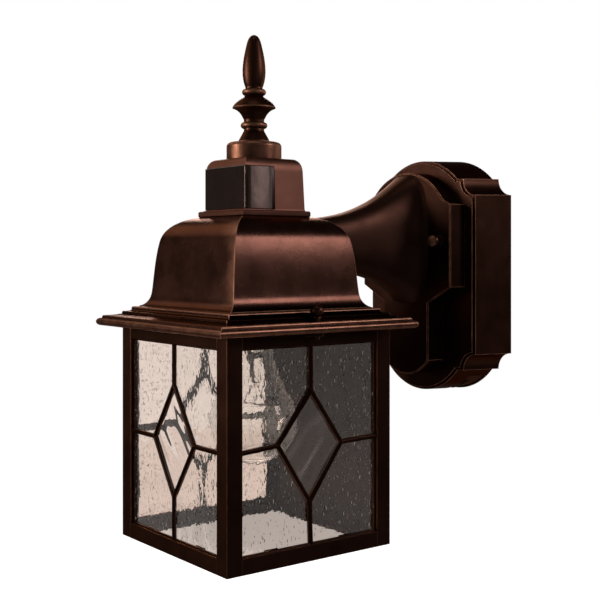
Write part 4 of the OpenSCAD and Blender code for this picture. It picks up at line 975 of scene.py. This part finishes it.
# ---- Floor ----
# A pale sheet lies well below the lantern. It is white to the camera, as a lit paper sweep is; seen through
# the glass it is dimmer close below the lantern, a painted shadow, and metal sees it darker still.
FLOOR = cad_bounds[0].z - 0.35
FLOOR_MIDDLE = (-0.8, 0.9)
FLOOR_HALF = 1.4
PAINTED_SHADOW_MIDDLE = (-1.11, 0.65)
PAINTED_SHADOW_FROM = 0.16
PAINTED_SHADOW_TO = 0.32
SEEN_BY_CAMERA = 0.62
SEEN_IN_GLASS = (0.36, 0.78)

floor_mesh = bpy.data.meshes.new("floor")
bm = bmesh.new()
bmesh.ops.create_grid(bm, x_segments=1, y_segments=1, size=FLOOR_HALF,
                      matrix=Matrix.Translation((*FLOOR_MIDDLE, FLOOR)))
bm.to_mesh(floor_mesh)
bm.free()
floor = bpy.data.objects.new("floor", floor_mesh)
bpy.context.scene.collection.objects.link(floor)
pale, tree, skin = finish("pale_floor", (0.86, 0.86, 0.86), 0.7)
paths = node(tree, "LightPath").outputs
away = node(tree, "VectorMath", operation="DISTANCE", Vector=own_space(tree))
away.inputs[1].default_value = (*PAINTED_SHADOW_MIDDLE, FLOOR)
through_glass = maths(tree, "MULTIPLY", fit(tree, away.outputs["Value"], PAINTED_SHADOW_FROM, PAINTED_SHADOW_TO, *SEEN_IN_GLASS),
                      paths["Is Transmission Ray"])
plug(tree, skin,
     Base_Color=blend(tree, paths["Is Glossy Ray"], (0.86, 0.86, 0.86), (0.2, 0.2, 0.2)),
     Emission_Color=blend(tree, paths["Is Camera Ray"], (1, 0.93, 0.885), (1, 1, 1)),
     Emission_Strength=maths(tree, "MAXIMUM", fit(tree, paths["Is Camera Ray"], 0, 1, 0, SEEN_BY_CAMERA),
                             through_glass))
floor_mesh.materials.append(pale)

# ---- Studio walls ----
# White to the camera and through glass, and a dim even light on everything. Metal sees a dark room with a
# white wall behind the lantern and faint ones to the sides and in front.
DIM_LIGHT = 0.5
SIDE_WALLS = 0.12
LEFT_GLOW = 0.02

world = bpy.data.worlds.new("studio")
bpy.context.scene.world = world
world.use_nodes = True
tree = world.node_tree
paths = node(tree, "LightPath").outputs
towards = node(tree, "SeparateXYZ", Vector=node(tree, "TexCoord").outputs["Generated"]).outputs
rear_wall = fit(tree, towards["Y"], 0.85, 0.98, 0.03, 1.0)
left_wall = fit(tree, towards["X"], -0.4, -0.8, 0, LEFT_GLOW)
end_walls = fit(tree, maths(tree, "ABSOLUTE", towards["X"]), 0.88, 0.97, 0, SIDE_WALLS)
front_wall = fit(tree, towards["Y"], -0.88, -0.97, 0, SIDE_WALLS)
room = maths(tree, "ADD", maths(tree, "ADD", rear_wall, left_wall),
             maths(tree, "ADD", end_walls, front_wall))
seen_in_metal = maths(tree, "MULTIPLY", paths["Is Glossy Ray"], room)
seen_white = maths(tree, "MAXIMUM", paths["Is Camera Ray"], paths["Is Transmission Ray"])
not_metal = maths(tree, "SUBTRACT", 1, paths["Is Glossy Ray"], use_clamp=True)
lit = maths(tree, "MULTIPLY_ADD", not_metal, DIM_LIGHT, seen_in_metal)
plug(tree, tree.nodes["Background"], Color=(1, 1, 1, 1), Strength=maths(tree, "MAXIMUM", seen_white, lit))

# ---- Lights ----
# Soft boxes face the lantern from the right and behind, from the left and behind, from high on the left,
# from above and from low in front on the left. All but the first are faintly warm.
TARGET = Vector((0, -0.14, -0.04))
WARM = (1, 0.93, 0.85)


def soft_box(name, place, width, height, watts, colour=WARM):
    """A rectangular soft box that faces the lantern."""
    lamp = bpy.data.lights.new(name, "AREA")
    lamp.shape = "RECTANGLE"
    lamp.size = width
    lamp.size_y = height
    lamp.energy = watts
    lamp.color = colour
    made = bpy.data.objects.new(name, lamp)
    made.location = place
    made.rotation_euler = (TARGET - Vector(place)).to_track_quat("-Z", "Y").to_euler()
    bpy.context.scene.collection.objects.link(made)


soft_box("right_box", (0.97, 0.56, 0.53), 0.36, 0.42, 2.9, (1, 0.97, 1))
soft_box("rear_box", (-0.88, 0.40, 0.40), 0.5, 0.5, 3.8, (1, 0.9, 0.85))
soft_box("side_box", (-1.0, -0.42, 0.84), 0.8, 0.8, 1.7)
soft_box("top_box", (0.15, -0.35, 1.25), 0.5, 0.5, 0.6)
soft_box("left_box", (-0.60, -1.38, 0.2), 0.4, 0.6, 7.5, (1, 0.94, 0.87))

# ---- Camera ----
# It stands level with the lantern, to the right of its front, and its lens is raised a little, so that
# upright edges stay upright.
camera = bpy.data.objects.new("camera", bpy.data.cameras.new("camera"))
bpy.context.scene.collection.objects.link(camera)
camera.location = (0.6129, -0.6253, -0.005)
camera.rotation_euler = Vector((-0.7950, 0.6065, 0)).to_track_quat("-Z", "Y").to_euler()
camera.data.lens = 65.13
camera.data.shift_y = -0.0794
bpy.context.scene.camera = camera
bpy.context.scene.view_settings.view_transform = "Standard"
